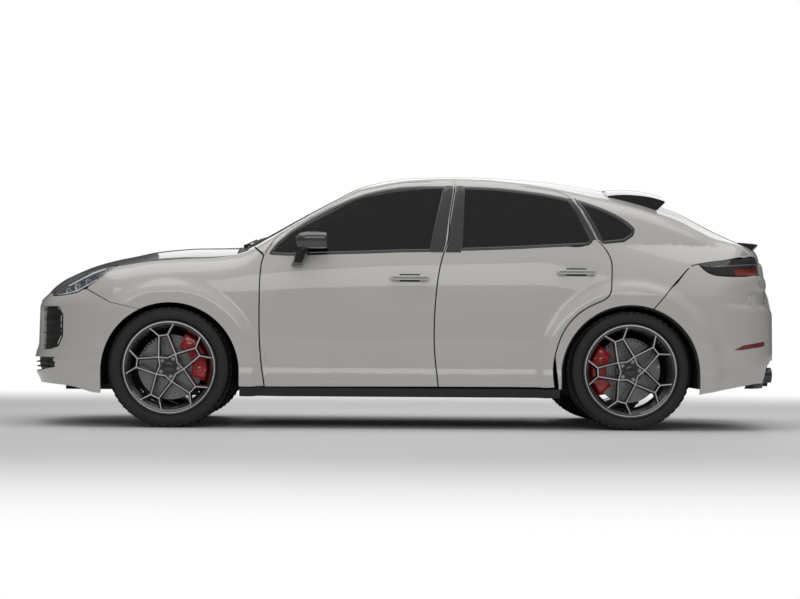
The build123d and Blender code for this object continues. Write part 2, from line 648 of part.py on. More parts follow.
def make_liner(axle):
    """The lining of one left wheel opening."""
    inner_y = well_inner_y(axle)
    radius, wall, outer_y, hole_top = ARCH_R, LINER_WALL, 952, 620
    if axle == FRONT_AXLE:
        radius, wall, outer_y, hole_top = ARCH_R + STEER_ROOM, STEERED_WALL, 905, 760
    liner = arch_tool(axle, radius) - arch_tool(axle, radius - wall, inner_y + LINER_WALL)
    liner = liner & box(axle - 500, axle + 500, -outer_y, -inner_y, 262, 900)
    return liner - box(axle - 170, axle + 170, -inner_y - 40, -inner_y, 0, hole_top)


def make_dashboard(inner):
    outline = [[(-1005, 800), (-1005, 1110)], [(-1005, 1110), (-850, 1085), (-700, 1062)],
               [(-700, 1062), (-610, 1040), (-575, 985), (-590, 900)], [(-590, 900), (-700, 800)],
               [(-700, 800), (-1005, 800)]]
    dash = side_prism(outline, -770, 0)
    console = side_prism(polygon((-700, 900), (-600, 850), (-300, 620), (330, 600), (330, 255),
                                 (-700, 255)), -125, 0)
    return (dash + console) & inner


WHEEL_HUB = (-430.0, -380.0, 955.0)
WHEEL_TILT = 24.0


def steering_frame():
    """Local frame of the steering wheel: Z points along the column at the driver."""
    return Pos(*WHEEL_HUB) * Rot(0, 90 - WHEEL_TILT, 0)


def make_steering_wheel():
    ring = Torus(182, 15)
    hub = Pos(0, 0, -10) * Cylinder(62, 36)
    shaft = Pos(0, 0, -88) * Cylinder(12, 130)
    spokes = Pos(0, 0, -6) * Box(26, 350, 16) + Pos(-88, 0, -6) * Box(176, 40, 16)
    return steering_frame() * (ring + hub + shaft + spokes)


def make_column():
    return steering_frame() * (Pos(0, 0, -120) * Cylinder(45, 110)
                               - Pos(0, 0, -120) * Cylinder(12 + FIT, 110))


def make_seat(y, half):
    cushion = side_prism([[(-250, 470), (-230, 640)], [(-230, 640), (-60, 620), (230, 560)],
                          [(230, 560), (270, 440)], [(270, 440), (-250, 470)]],
                         y - half, y + half)
    back = side_prism([[(150, 560), (250, 520)], [(250, 520), (345, 800), (440, 1130)],
                       [(440, 1130), (430, 1180), (340, 1170)],
                       [(340, 1170), (250, 900), (150, 560)]], y - half + 15, y + half - 15)
    head = side_prism([[(365, 1190), (350, 1330)], [(350, 1330), (390, 1370), (440, 1350)],
                       [(440, 1350), (460, 1190)], [(460, 1190), (365, 1190)]],
                      y - 140, y + 140)
    posts = box(395, 410, y - 70, y - 56, 1120, 1240) + box(395, 410, y + 56, y + 70, 1120, 1240)
    base = box(-200, 230, y - half + 60, y + half - 60, FLOOR_Z + FLOOR_T, 500)
    return cushion + back + head + posts + base


def make_bench():
    cushion = side_prism([[(630, 440), (640, 630)], [(640, 630), (760, 640), (1060, 590)],
                          [(1060, 590), (1085, 440)], [(1085, 440), (630, 440)]], -620, 0)
    back = side_prism([[(1010, 595), (1085, 590)], [(1085, 590), (1190, 850), (1290, 1170)],
                       [(1290, 1170), (1270, 1200), (1190, 1180)],
                       [(1190, 1180), (1110, 900), (1010, 595)]], -620, 0)
    head = box(1215, 1290, -520, -260, 1160, 1310)
    base = box(700, 1084, -560, 0, FLOOR_Z + FLOOR_T, 460)
    return (cushion + back + head + base) & box(0, 2000, -620, 0, 0, 2000)


# Running gear
def make_tyre(axle, centre_y, radius, width):
    w = width / 2
    rim_w = w - 17.5
    half = [(BEAD_R, rim_w), (FLANGE_R + 1, rim_w), (FLANGE_R + 6, w - 5), (BEAD_R + 45, w),
            (radius - 18, w - 6), (radius, w - 34)]
    profile = polygon(*[(r, -y) for r, y in half], *half[::-1])
    return turned(profile, axle, centre_y, radius)


def turned(profile, axle, centre_y, centre_z):
    """A ring about a wheel axis from (radius, offset) corners."""
    face = loop(profile, lambda r, w: (r, 0, w))
    ring = revolve(face, Axis.Z)
    return Pos(axle, centre_y, centre_z) * Rot(-90, 0, 0) * ring


def make_rim(axle, centre_y, centre_z, width, phase):
    """Rim of the left side: its face looks at -Y. Angles are in side view from +X to +Z."""
    w = width / 2
    edge = w - 8
    seat = w - 17
    barrel = polygon((BARREL_R, -edge), (FLANGE_R, -edge), (FLANGE_R, -seat), (BEAD_R, -seat),
                     (BEAD_R, seat), (FLANGE_R, seat), (FLANGE_R, edge), (BARREL_R, edge))
    rim = turned(barrel, axle, centre_y, centre_z)
    front = centre_y - w + 14
    back = front + 32

    def at(radius, degrees):
        a = math.radians(degrees)
        return axle + radius * math.cos(a), centre_z + radius * math.sin(a)

    def spoke(p, q, width):
        dx, dz = q[0] - p[0], q[1] - p[1]
        s = width / 2 / math.hypot(dx, dz)
        nx, nz = -dz * s, dx * s
        return side_prism(polygon((p[0] + nx, p[1] + nz), (q[0] + nx, q[1] + nz),
                                  (q[0] - nx, q[1] - nz), (p[0] - nx, p[1] - nz)), front, back)

    star = along_y(98, axle, centre_z, front, back)
    for k in range(5):
        arm = phase + 72 * k
        for side in (-1, 1):
            tip = at(207, arm + 7.6 * side)
            star = star + spoke(at(88, arm + 36 * side), tip, 26)
            star = star + spoke(at(200, arm + 7.3 * side), at(278, arm + 17.7 * side), 24)
        star = star + spoke(at(207, arm - 9), at(207, arm + 9), 24)
    hub = along_y(HUB_R, axle, centre_z, front, centre_y - 20)
    return rim + star + hub


def make_disc(axle, centre_y, centre_z):
    """Brake disc with its hat, for the left side."""
    disc = along_y(DISC_R, axle, centre_z, centre_y, centre_y + 34)
    hat = along_y(HUB_R, axle, centre_z, centre_y - 20, centre_y + 34)
    bore = along_y(30 + FIT, axle, centre_z, centre_y - 6, centre_y + 40)
    return disc + hat - bore


def make_caliper(axle, centre_y, centre_z, middle, length):
    """Brake caliper round the disc's edge, at an angle in side view."""
    block = Pos(170, 0, 0) * Box(110, 116, length)
    slot = Pos(150, 0, 0) * Box(130, 50, length + 10)
    body = block - slot
    body = Pos(axle, centre_y + 17, centre_z) * Rot(0, -middle, 0) * body
    ring = along_y(238, axle, centre_z, centre_y - 60, centre_y + 90)
    hollow = along_y(112, axle, centre_z, centre_y - 60, centre_y + 90)
    return (body & ring) - hollow


def make_knuckle(axle, centre_y, centre_z, towards):
    """Hub carrier of the left side, with its stub shaft and caliper bracket."""
    carrier = along_y(68, axle, centre_z, centre_y + 40, centre_y + 95)
    stub = along_y(30, axle, centre_z, centre_y - 6, centre_y + 45)
    upright = box(axle - 32, axle + 32, centre_y + 55, centre_y + 95, centre_z - 150,
                  centre_z + 150)
    bracket = Pos(axle, centre_y + 85, centre_z) * Rot(0, -towards, 0) * (
        Pos(105, 0, 0) * Box(150, 20, 90))
    return carrier + stub + upright + bracket


def make_front_axle():
    """Subframe, arms, upper links and struts of the left half."""
    z = FRONT_TYRE_R
    y = -KINGPIN_Y
    frame = box(-1660, -1320, -440, 0, 232, 300)
    arm = plan_prism(polygon((FRONT_AXLE - 28, y - 18), (FRONT_AXLE + 28, y - 18),
                             (FRONT_AXLE + 55, y + 110), (FRONT_AXLE + 150, -430),
                             (FRONT_AXLE - 150, -430), (FRONT_AXLE - 55, y + 110)), 190, 222)
    hanger = box(-1640, -1340, -444, -400, 190, 240)
    low_pin = Pos(FRONT_AXLE, y, 217) * Cylinder(12, 54)
    upper = plan_prism(polygon((FRONT_AXLE - 24, y - 18), (FRONT_AXLE + 24, y - 18),
                               (FRONT_AXLE + 70, -FRONT_WELL_Y),
                               (FRONT_AXLE - 70, -FRONT_WELL_Y)), z + 158, z + 182)
    up_pin = Pos(FRONT_AXLE, y, z + 152) * Cylinder(12, 56)
    strut = Pos(FRONT_AXLE, -590, 470) * Cylinder(24, 530)
    top_mount = box(FRONT_AXLE - 60, FRONT_AXLE + 60, -650, -FRONT_WELL_Y, 722, 745)
    return frame + arm + hanger + low_pin + upper + up_pin + strut + top_mount


def make_rear_axle():
    """Subframe, arms, knuckle and struts of the left half."""
    z = REAR_TYRE_R
    y = -(TYRE_OUTER_FACE - REAR_TYRE_W / 2)
    frame = box(REAR_AXLE - 200, REAR_AXLE + 200, -420, 0, 250, 340)
    lower = box(REAR_AXLE - 60, REAR_AXLE + 60, y + 62, -400, 240, 275)
    upper = box(REAR_AXLE - 40, REAR_AXLE + 40, y + 62, -420, z + 90, z + 115)
    tower = box(REAR_AXLE - 60, REAR_AXLE + 60, -440, -400, 300, z + 125)
    knuckle = make_knuckle(REAR_AXLE, y, z, 180)
    strut = Pos(REAR_AXLE + 80, -580, 402) * Cylinder(24, 316)
    low_link = box(REAR_AXLE, REAR_AXLE + 110, -610, -550, 245, 275)
    top_mount = box(REAR_AXLE + 50, REAR_AXLE + 110, -610, -550, 540, 560)
    return frame + lower + upper + tower + knuckle + strut + low_link + top_mount


def make_mirror(outer):
    """Left door mirror: a rounded head on a short arm."""
    head = Pos(-598, -1010, 1180) * Box(196, 168, 108)
    head = fillet(head.edges(), 30)
    arm = side_prism([[(-728, 1022), (-700, 1100)], [(-700, 1100), (-640, 1150), (-590, 1150)],
                      [(-590, 1150), (-620, 1060), (-650, 1022)], [(-650, 1022), (-728, 1022)]],
                     -985, -860)
    return (head + arm) - outer


# Writing the pieces
def save(name, shape):
    shape.label = name
    export_step(shape, os.path.join("parts", name + ".step"))
    print(f"{name}: {len(shape.solids())} solids, {shape.volume / 1e9:.4f} m3", flush=True)


def main():
    os.makedirs("parts", exist_ok=True)
    outer = left_half(0.0)
    glass_depth = left_half(GLASS_T)
    inner = left_half(PANEL_T)
    door_depth = left_half(FRAME_T, door=True)
    room = left_half(FRAME_T + CLEARANCE, door=True)
    shell = outer - inner

    for name, shape in make_doors(outer, glass_depth, door_depth).items():
        save(name + "_left", shape)
        save(name + "_right", right(shape))

    side, quarter_hole = make_body_side(shell)
    save("body_sides", pair(side))
    save("quarter_glass", pair((outer & quarter_hole) - glass_depth))
    save("front_fenders", pair(make_front_fender(shell)))
    save("bonnet", whole(make_bonnet(outer, door_depth)))
    bumper, grille = make_front_bumper(shell, inner, door_depth)
    save("front_bumper", whole(bumper))
    save("front_grille", whole(grille))
    bumper, diffuser = make_rear_bumper(shell, inner, door_depth)
    save("rear_bumper", whole(bumper))
    save("diffuser", whole(diffuser))
    tailgate, rear_glass = make_tailgate(outer, glass_depth, door_depth)
    save("tailgate", whole(tailgate))
    save("tailgate_glass", whole(rear_glass))
    roof_spoiler, tail_lip = make_spoilers(outer)
    save("roof_spoiler", whole(roof_spoiler))
    save("tail_lip", whole(tail_lip))
    save("exhaust", pair(make_exhaust()))
    headlamp, tail_lamp = make_lamps(outer, door_depth)
    save("headlamps", pair(headlamp))
    save("tail_lamps", pair(tail_lamp))
    screen = between_rails(COWL_REAR, HEADER)
    save("windscreen", whole((outer & screen) - glass_depth))
    roof = between_rails(HEADER, TAILGATE_FRONT - LID_GAP)
    save("roof_panel", whole(shell & roof))
    save("cowl_panel", whole(shell & between_rails(COWL_FRONT, COWL_REAR)))
    sill = (outer & box(-1046, 966, -1200, -SILL_INNER_Y, 200, SILL_TOP))
    save("side_sills", pair(sill))
    save("body_structure", whole(make_structure(inner, door_depth, room)))
    save("wheel_liners", Compound(children=[s for axle in (FRONT_AXLE, REAR_AXLE)
                                            for s in solids(pair(make_liner(axle) & outer))]))

    dash = make_dashboard(inner)
    dash = dash + right(dash)
    column = make_column()
    room = steering_frame() * (Pos(0, 0, -120) * Cylinder(45, 110))
    save("dashboard", (dash - room) + column)
    save("front_seats", pair(make_seat(-380, 255)))
    save("rear_bench", whole(make_bench()))
    save("steering_wheel", make_steering_wheel())
    mirror_left = make_mirror(outer)
    save("door_mirror_left", mirror_left)
    save("door_mirror_right", right(mirror_left))

    save("engine_block", box(-1900, -1330, -300, 300, 300, 810))
    save("front_axle", whole(make_front_axle()))
    save("rear_axle", whole(make_rear_axle()))

    front_y = -(TYRE_OUTER_FACE - FRONT_TYRE_W / 2)
    rear_y = -(TYRE_OUTER_FACE - REAR_TYRE_W / 2)
    pins = (Pos(FRONT_AXLE, -KINGPIN_Y, 217) * Cylinder(12 + FIT, 54)
            + Pos(FRONT_AXLE, -KINGPIN_Y, FRONT_TYRE_R + 152) * Cylinder(12 + FIT, 56))
    knuckle = make_knuckle(FRONT_AXLE, front_y, FRONT_TYRE_R, 20) - pins
    caliper = make_caliper(FRONT_AXLE, front_y, FRONT_TYRE_R, 22, 240)
    rear_caliper = make_caliper(REAR_AXLE, rear_y, REAR_TYRE_R, 180, 250)
    save("rear_calipers", pair(rear_caliper))
    for side, turn in (("left", lambda s: s), ("right", right)):
        save("front_knuckle_" + side, turn(knuckle))
        save("front_caliper_" + side, turn(caliper))
        for end, axle, y, radius, width, phase in (
                ("front", FRONT_AXLE, front_y, FRONT_TYRE_R, FRONT_TYRE_W, 28.6),
                ("rear", REAR_AXLE, rear_y, REAR_TYRE_R, REAR_TYRE_W, 38.6)):
            save(f"{end}_tyre_{side}", turn(make_tyre(axle, y, radius, width)))
            save(f"{end}_rim_{side}", turn(make_rim(axle, y, radius, width, phase)))
            save(f"{end}_disc_{side}", turn(make_disc(axle, y, radius)))


if __name__ == "__main__":
    main()
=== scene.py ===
# %% [markdown]
# This lesson dresses a coupe sport utility vehicle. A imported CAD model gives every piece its
# place, its size and the body that it moves with. What is added here is what makes it look
# real: smooth body panels, paint, tinted glass, wheels, lamps, trim and a cabin.

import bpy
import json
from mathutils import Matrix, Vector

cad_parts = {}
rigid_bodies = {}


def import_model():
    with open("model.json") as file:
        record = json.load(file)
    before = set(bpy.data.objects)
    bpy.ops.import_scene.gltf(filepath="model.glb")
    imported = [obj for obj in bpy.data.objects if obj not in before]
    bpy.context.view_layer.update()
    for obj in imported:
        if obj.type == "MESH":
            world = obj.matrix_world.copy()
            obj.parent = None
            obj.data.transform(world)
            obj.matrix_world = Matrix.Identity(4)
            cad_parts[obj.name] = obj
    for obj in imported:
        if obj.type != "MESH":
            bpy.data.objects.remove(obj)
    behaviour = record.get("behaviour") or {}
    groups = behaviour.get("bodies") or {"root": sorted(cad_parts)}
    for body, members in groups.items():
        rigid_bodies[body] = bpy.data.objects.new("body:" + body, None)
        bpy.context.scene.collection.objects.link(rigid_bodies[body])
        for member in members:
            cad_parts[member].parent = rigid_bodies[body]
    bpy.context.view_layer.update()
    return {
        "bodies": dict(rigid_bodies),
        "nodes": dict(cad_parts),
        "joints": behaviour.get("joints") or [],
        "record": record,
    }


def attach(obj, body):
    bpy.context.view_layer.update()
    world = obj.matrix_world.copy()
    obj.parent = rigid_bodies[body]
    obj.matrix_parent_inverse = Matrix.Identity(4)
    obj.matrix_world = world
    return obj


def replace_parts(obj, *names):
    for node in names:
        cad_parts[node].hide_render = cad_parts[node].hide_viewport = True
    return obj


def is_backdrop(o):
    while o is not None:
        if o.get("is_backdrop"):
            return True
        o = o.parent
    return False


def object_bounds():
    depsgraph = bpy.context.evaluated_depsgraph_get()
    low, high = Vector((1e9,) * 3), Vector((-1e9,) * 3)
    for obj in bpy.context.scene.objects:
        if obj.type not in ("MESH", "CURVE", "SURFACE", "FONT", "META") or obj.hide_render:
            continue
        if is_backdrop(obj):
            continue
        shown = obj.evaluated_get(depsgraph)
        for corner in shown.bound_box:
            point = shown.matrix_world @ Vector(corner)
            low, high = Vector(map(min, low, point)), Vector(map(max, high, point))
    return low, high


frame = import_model()
NODES = frame["nodes"]
SIDES = ("left", "right")

# %% [markdown]
# Everything else the script needs comes with Blender: its own modules and numpy, which works
# on all the points of a panel at once.

# %% Modules
import json
import math

import bmesh
import bpy
import numpy as np
from mathutils import Matrix, Vector

MM = 0.001
print("Blender", bpy.app.version_string)

# %% [markdown]
# A body panel is pressed so that light runs over it without a ripple. The CAD skin was built
# from one rule, a function that is negative inside the body and positive outside it, so the
# same rule is written here. It tells where the skin is and which way it faces at any point,
# which a mesh of triangles only tells roughly. Sizes in it are millimetres.

# %% The curves that shape the body
FRONT_AXLE, REAR_AXLE, ARCH_Z = -1487.0, 1408.0, 351.0


def curve(*points):
    """A smooth curve through (x, value) points that never overshoots them."""
    xs = np.array([p[0] for p in points], float)
    vs = np.array([p[1] for p in points], float)
    rise = np.diff(vs) / np.diff(xs)
    slope = np.r_[rise[0], np.zeros(len(xs) - 2), rise[-1]]
    for i in range(1, len(xs) - 1):
        if rise[i - 1] * rise[i] > 0:
            slope[i] = 2 / (1 / rise[i - 1] + 1 / rise[i])

    def value(x):
        x = np.clip(np.asarray(x, float), xs[0], xs[-1])
        i = np.clip(np.searchsorted(xs, x) - 1, 0, len(xs) - 2)
        h = xs[i + 1] - xs[i]
        t = (x - xs[i]) / h
        return ((2 * t**3 - 3 * t**2 + 1) * vs[i] + (t**3 - 2 * t**2 + t) * h * slope[i]
                + (3 * t**2 - 2 * t**3) * vs[i + 1] + (t**3 - t**2) * h * slope[i + 1])

    return value


top_height = curve(
    (-2500, 850), (-2440, 850), (-2380, 868), (-2340, 883), (-2272, 923), (-2171, 976),
    (-2036, 1036), (-1902, 1076), (-1767, 1105), (-1632, 1134), (-1498, 1150), (-1363, 1160),
    (-1194, 1163), (-1100, 1165), (-1020, 1180), (-900, 1240), (-689, 1357), (-420, 1500),
    (-305, 1558), (-150, 1603), (-16, 1626), (119, 1635), (254, 1639), (388, 1640),
    (523, 1639), (658, 1633), (793, 1626), (927, 1616), (1062, 1598), (1197, 1578),
    (1331, 1556), (1450, 1532), (1600, 1494), (1803, 1425), (2005, 1318), (2100, 1265),
    (2207, 1216), (2288, 1206), (2500, 1200))
top_drop = curve(
    (-2450, 30), (-2100, 40), (-1824, 45), (-1568, 50), (-1312, 55), (-1000, 44), (-600, 36),
    (-309, 35), (-161, 44), (-32, 45), (225, 42), (483, 46), (740, 56), (998, 71), (1255, 86),
    (1513, 97), (1770, 108), (1963, 96), (2100, 62), (2207, 42), (2500, 30))
belt_height = curve(
    (-2500, 1040), (-1500, 1060), (-878, 1084), (-481, 1097), (-39, 1114), (466, 1128),
    (970, 1150), (1317, 1170), (1600, 1175), (2000, 1165), (2500, 1150))
belt_half_width = curve(
    (-2500, 800), (-1600, 870), (-1000, 875), (-600, 882), (0, 886), (800, 884), (1200, 858),
    (1500, 815), (1800, 770), (2100, 750), (2500, 740))
waist_half_width = curve(
    (-2500, 930), (-2200, 955), (-1900, 962), (-1483, 962), (-900, 955), (0, 958),
    (900, 960), (1407, 968), (1800, 962), (2200, 950), (2500, 935))
side_offset = curve(
    (0, -60), (100, -50), (200, -34), (250, -22), (300, -10), (345, -14), (390, -24),
    (480, -12), (570, 0), (700, -4), (850, -14))
nose_x = curve(
    (0, -2400), (100, -2400), (270, -2405), (297, -2415), (337, -2434), (423, -2445),
    (502, -2430), (766, -2424), (799, -2414), (860, -2380), (1000, -2330), (1700, -2300))
tail_x = curve(
    (0, 2380), (100, 2380), (280, 2409), (333, 2423), (428, 2438), (600, 2436), (731, 2434),
    (770, 2422), (805, 2392), (872, 2388), (926, 2394), (965, 2386), (1001, 2356),
    (1129, 2342), (1220, 2330), (1700, 2300))
print("roof top at", float(top_height(388)), "mm")

# %% [markdown]
# The rule itself takes the side, the top and the two ends, each as a distance from its own
# surface, and joins them with rounded edges. A wheel arch adds a flare that fades out over
# a band round the opening.


# %% The skin as a function
def smooth_step(t):
    t = np.clip(t, 0, 1)
    return t * t * (3 - 2 * t)


def smooth_max(a, b, radius):
    h = np.clip(radius - np.abs(a - b), 0, None) / radius
    return np.maximum(a, b) + h * h * radius * 0.25


def half_width(x, z):
    belt_z, belt_y, waist = belt_height(x), belt_half_width(x), waist_half_width(x)
    shoulder = waist + side_offset(850)
    t = np.clip((z - 850) / (belt_z - 850), 0, 1)
    above = shoulder - (shoulder - belt_y) * (0.45 * t + 0.55 * t**2.2)
    rise = np.clip(z - belt_z, 0, None)
    glass = belt_y - 0.36 * rise - 2.3e-4 * rise**2
    y = np.where(z <= 850, waist + side_offset(z), np.where(z <= belt_z, above, glass))
    for axle, crease in ((FRONT_AXLE, 508.0), (REAR_AXLE, 520.0)):
        y = y + 30 * smooth_step((crease + 95 - np.hypot(x - axle, z - ARCH_Z)) / 95)
    return y


def outside(p):
    """Distance outside the skin, in mm, of points in mm."""
    x, across, z = p[:, 0], np.abs(p[:, 1]), p[:, 2]
    side = across - half_width(x, z)
    top = 0.9 * (z - top_height(x) + top_drop(x) * (across / 620)**2)
    sweep = 110 * (across / 700)**2 + 140 * (across / 850)**6
    nose = nose_x(z) + sweep - x
    tail = x - tail_x(z) + sweep * 0.75
    edge = 55 + 55 * smooth_step((-850 - x) / 250)
    return smooth_max(smooth_max(smooth_max(side, top, edge), nose, 110.0), tail, 110.0)


def steepest(p, step=0.5):
    """Which way the skin's distance grows, from points in mm."""
    out = np.empty_like(p)
    for k in range(3):
        move = np.zeros(3)
        move[k] = step
        out[:, k] = (outside(p + move) - outside(p - move)) / (2 * step)
    return out


def settle(p, level=0.0):
    """Moves points in mm straight onto the skin, or to a level outside it."""
    p = p.copy()
    for _ in range(4):
        g = steepest(p)
        p -= g * ((outside(p) - level) / np.maximum((g * g).sum(1), 1e-6))[:, None]
    return p


def cast(points, direction, lift=0.0, reach=900.0):
    """Points in mm moved along a direction until they meet the skin, then lifted off it."""
    start = np.asarray(points, float)
    direction = np.asarray(direction, float)
    low, high = np.zeros(len(start)), np.full(len(start), reach)
    for _ in range(32):
        middle = (low + high) / 2
        out = outside(start + direction * middle[:, None]) > 0
        low, high = np.where(out, middle, low), np.where(out, high, middle)
    met = start + direction * low[:, None]
    lift = np.broadcast_to(np.asarray(lift, float), len(met))
    g = steepest(met)
    return met + g / np.linalg.norm(g, axis=1)[:, None] * lift[:, None]


def on_side(xz, lift=0.0):
    """Points of the left side, in mm, from (x, z) pairs."""
    xz = np.asarray(xz, float).reshape(-1, 2)
    start = np.c_[xz[:, 0], np.full(len(xz), -1150.0), xz[:, 1]]
    return cast(start, (0, 1, 0), lift)


print("door skin at", on_side([(0, 700)])[0].round(1))

# %% [markdown]
# A material in Blender is a small network of nodes. Writing it node by node hides the idea,
# so one class wraps a socket and lets Python's own operators add the Math nodes. A second
# class holds the material and its one shader, and makes every other node in one method.


# %% Shader arithmetic
class Value:
    """A socket that takes part in Python arithmetic."""

    def __init__(self, finish, socket):
        self.finish, self.socket = finish, socket

    def math(self, operation, *others):
        inputs = {i: v for i, v in enumerate((self, *others))}
        return self.finish.node("ShaderNodeMath", {"operation": operation}, inputs)

    def __add__(self, other):
        return self.math("ADD", other)

    def __sub__(self, other):
        return self.math("SUBTRACT", other)

    def __rsub__(self, other):
        return self.finish.node("ShaderNodeMath", {"operation": "SUBTRACT"},
                                {0: other, 1: self})

    def __mul__(self, other):
        return self.math("MULTIPLY", other)

    def __truediv__(self, other):
        return self.math("DIVIDE", other)

    def __pow__(self, other):
        return self.math("POWER", other)

    def above(self, level):
        return self.math("GREATER_THAN", level)

    def clamped(self):
        made = self.math("ADD", 0.0)
        made.socket.node.use_clamp = True
        return made

    __radd__, __rmul__ = __add__, __mul__


class Finish:
    """A procedural material with one Principled shader."""

    def __init__(self, name, colour, roughness=0.5, **sockets):
        self.material = bpy.data.materials.new(name)
        self.material.use_nodes = True
        self.tree = self.material.node_tree
        self.shader = self.tree.nodes["Principled BSDF"]
        self.colour = (*colour, 1.0)
        self.set("Base Color", self.colour)
        self.set("Roughness", roughness)
        for label, value in sockets.items():
            self.set(label.replace("_", " "), value)
        self.material.diffuse_color = self.colour

    def join(self, value, socket):
        if isinstance(value, Value):
            self.tree.links.new(value.socket, socket)
        else:
            socket.default_value = value

    def set(self, label, value):
        self.join(value, self.shader.inputs[label])

    def node(self, kind, settings=None, inputs=None, output=0):
        made = self.tree.nodes.new(kind)
        for key, value in (settings or {}).items():
            if key == "stops":
                stops = made.color_ramp.elements
                while len(stops) < len(value):
                    stops.new(0.5)
                for stop, (place, shade) in zip(stops, value):
                    stop.position = place
                    stop.color = (shade, shade, shade, 1) if isinstance(shade, float) else (
                        *shade, 1)
            else:
                setattr(made, key, value)
        for key, value in (inputs or {}).items():
            self.join(value, made.inputs[key])
        return Value(self, made.outputs[output])

    def place(self, scale=(1, 1, 1), shift=(0, 0, 0), turn=(0, 0, 0)):
        """The point's own place on the object, in metres, scaled, shifted or turned."""
        at = self.node("ShaderNodeTexCoord", output="Object")
        return self.node("ShaderNodeMapping", {}, {
            "Vector": at, "Scale": scale, "Location": shift, "Rotation": turn})

    def axes(self, at=None):
        at = at or self.place()
        parts = self.node("ShaderNodeSeparateXYZ", {}, {0: at}).socket.node
        return [Value(self, parts.outputs[i]) for i in range(3)]

    def noise(self, scale, detail=2.0, at=None, rough=0.5):
        return self.node("ShaderNodeTexNoise", {}, {
            "Vector": at or self.place(), "Scale": scale, "Detail": detail,
            "Roughness": rough})

    def mix(self, factor, first, second):
        return self.node("ShaderNodeMix", {"data_type": "RGBA"},
                         {0: factor, 6: first, 7: second}, output=2)

    def tint(self, factor, low, high):
        """Base Color between two shades of the finish's own colour."""
        shade = [tuple(min(c * k, 1.0) for c in self.colour[:3]) + (1.0,) for k in (low, high)]
        self.set("Base Color", self.mix(factor, *shade))

    def bump(self, height, strength=0.2, distance=0.001):
        self.set("Normal", self.node("ShaderNodeBump", {}, {
            "Height": height, "Strength": strength, "Distance": distance}))


print("shader helpers ready")

# %% [markdown]
# The paint is a warm pale grey under clear lacquer. The lacquer is the shader's coat: it
# carries the sharp reflections, while the layer below stays soft. A trace of waviness, as
# sprayed lacquer has, keeps long reflections from looking ruled.


# %% Paint and black lacquer
def painted(name, colour, roughness, wave=0.012):
    finish = Finish(name, colour, roughness, Coat_Weight=1.0, Coat_Roughness=0.02)
    finish.tint(finish.noise(0.9, 3.0), 0.985, 1.015)
    finish.bump(finish.noise(140.0, 1.0), wave, 0.0005)
    return finish.material


BODY_PAINT = painted("chalk_grey_lacquer", (0.565, 0.548, 0.515), 0.42)
BLACK_PAINT = painted("black_lacquer", (0.0065, 0.0068, 0.0075), 0.3)
print("paints", BODY_PAINT.name, BLACK_PAINT.name)

# %% [markdown]
# Unpainted plastic on a car is grained like fine leather, which makes it dull. A cell texture
# a millimetre or so across gives the grain, and a slow noise varies how dull it is.


# %% Plastics, rubber and carpet
def grained(name, colour, roughness, cells=900.0, depth=0.25, metallic=0.0):
    finish = Finish(name, colour, roughness, Metallic=metallic)
    slow = finish.noise(6.0, 4.0)
    finish.tint(slow, 0.8, 1.2)
    finish.set("Roughness", slow * 0.16 + (roughness - 0.08))
    grain = finish.node("ShaderNodeTexVoronoi", {"feature": "F1"}, {
        "Vector": finish.place(), "Scale": cells})
    finish.bump(grain, depth, 0.0004)
    return finish.material


BLACK_PLASTIC = grained("grained_black_plastic", (0.012, 0.012, 0.013), 0.5)
UNDERBODY = grained("underbody_coating", (0.02, 0.02, 0.02), 0.75, 260.0, 0.5)
CARPET = grained("cut_pile_carpet", (0.018, 0.018, 0.019), 0.95, 1500.0, 0.9)
LEATHER = grained("grained_leather", (0.017, 0.016, 0.016), 0.5, 700.0, 0.35)
HEADLINING = grained("headlining_cloth", (0.05, 0.05, 0.052), 0.9, 2500.0, 0.5)
RUBBER = grained("tyre_rubber", (0.017, 0.017, 0.018), 0.68, 420.0, 0.3)
SEAL = grained("seal_rubber", (0.009, 0.009, 0.009), 0.6, 1200.0, 0.2)
CHASSIS = grained("cast_and_coated_steel", (0.045, 0.045, 0.048), 0.5, 350.0, 0.4, 0.6)
print("plastics ready")

# %% [markdown]
# Tinted glass lets a little light through and reflects the rest of the scene. The shader's
# transmission does both. Wiped glass is never quite clean, so a slow noise touches the
# roughness.


# %% Glass and lenses
def glazed(name, colour, haze=0.01):
    finish = Finish(name, colour, haze, Transmission_Weight=1.0, IOR=1.45)
    finish.set("Roughness", finish.noise(3.0, 2.0) * 0.02 + haze)
    return finish.material


TINTED_GLASS = glazed("tinted_glass", (0.10, 0.112, 0.12))
SCREEN_GLASS = glazed("windscreen_glass", (0.42, 0.46, 0.46))
CLEAR_LENS = glazed("clear_lens", (0.93, 0.96, 0.98))
SMOKED_LENS = glazed("smoked_lens", (0.30, 0.27, 0.27))
RED_LENS = glazed("red_lens", (0.55, 0.02, 0.02), 0.06)
print("glass ready")

# %% [markdown]
# The wheels are black with turned faces. A turning tool leaves rings finer than a hair, so
# the bright faces get rings round the wheel's axle as a bump, and the brake disc gets the
# same at a coarser pitch.


# %% Metals
def turned_metal(name, colour, roughness, axle, height, pitch=900.0, depth=0.15):
    finish = Finish(name, colour, roughness, Metallic=1.0)
    x, _, z = finish.axes(finish.place(shift=(-axle * MM, 0, -height * MM)))
    ring = ((x * x + z * z) ** 0.5 * pitch).math("SINE")
    finish.set("Roughness", finish.noise(30.0, 3.0) * 0.12 + (roughness - 0.06))
    finish.bump(ring, depth, 0.0002)
    return finish.material


def metal(name, colour, roughness, scale=60.0):
    finish = Finish(name, colour, roughness, Metallic=1.0)
    finish.set("Roughness", finish.noise(scale, 3.0) * 0.1 + (roughness - 0.05))
    finish.tint(finish.noise(8.0, 3.0), 0.93, 1.05)
    return finish.material


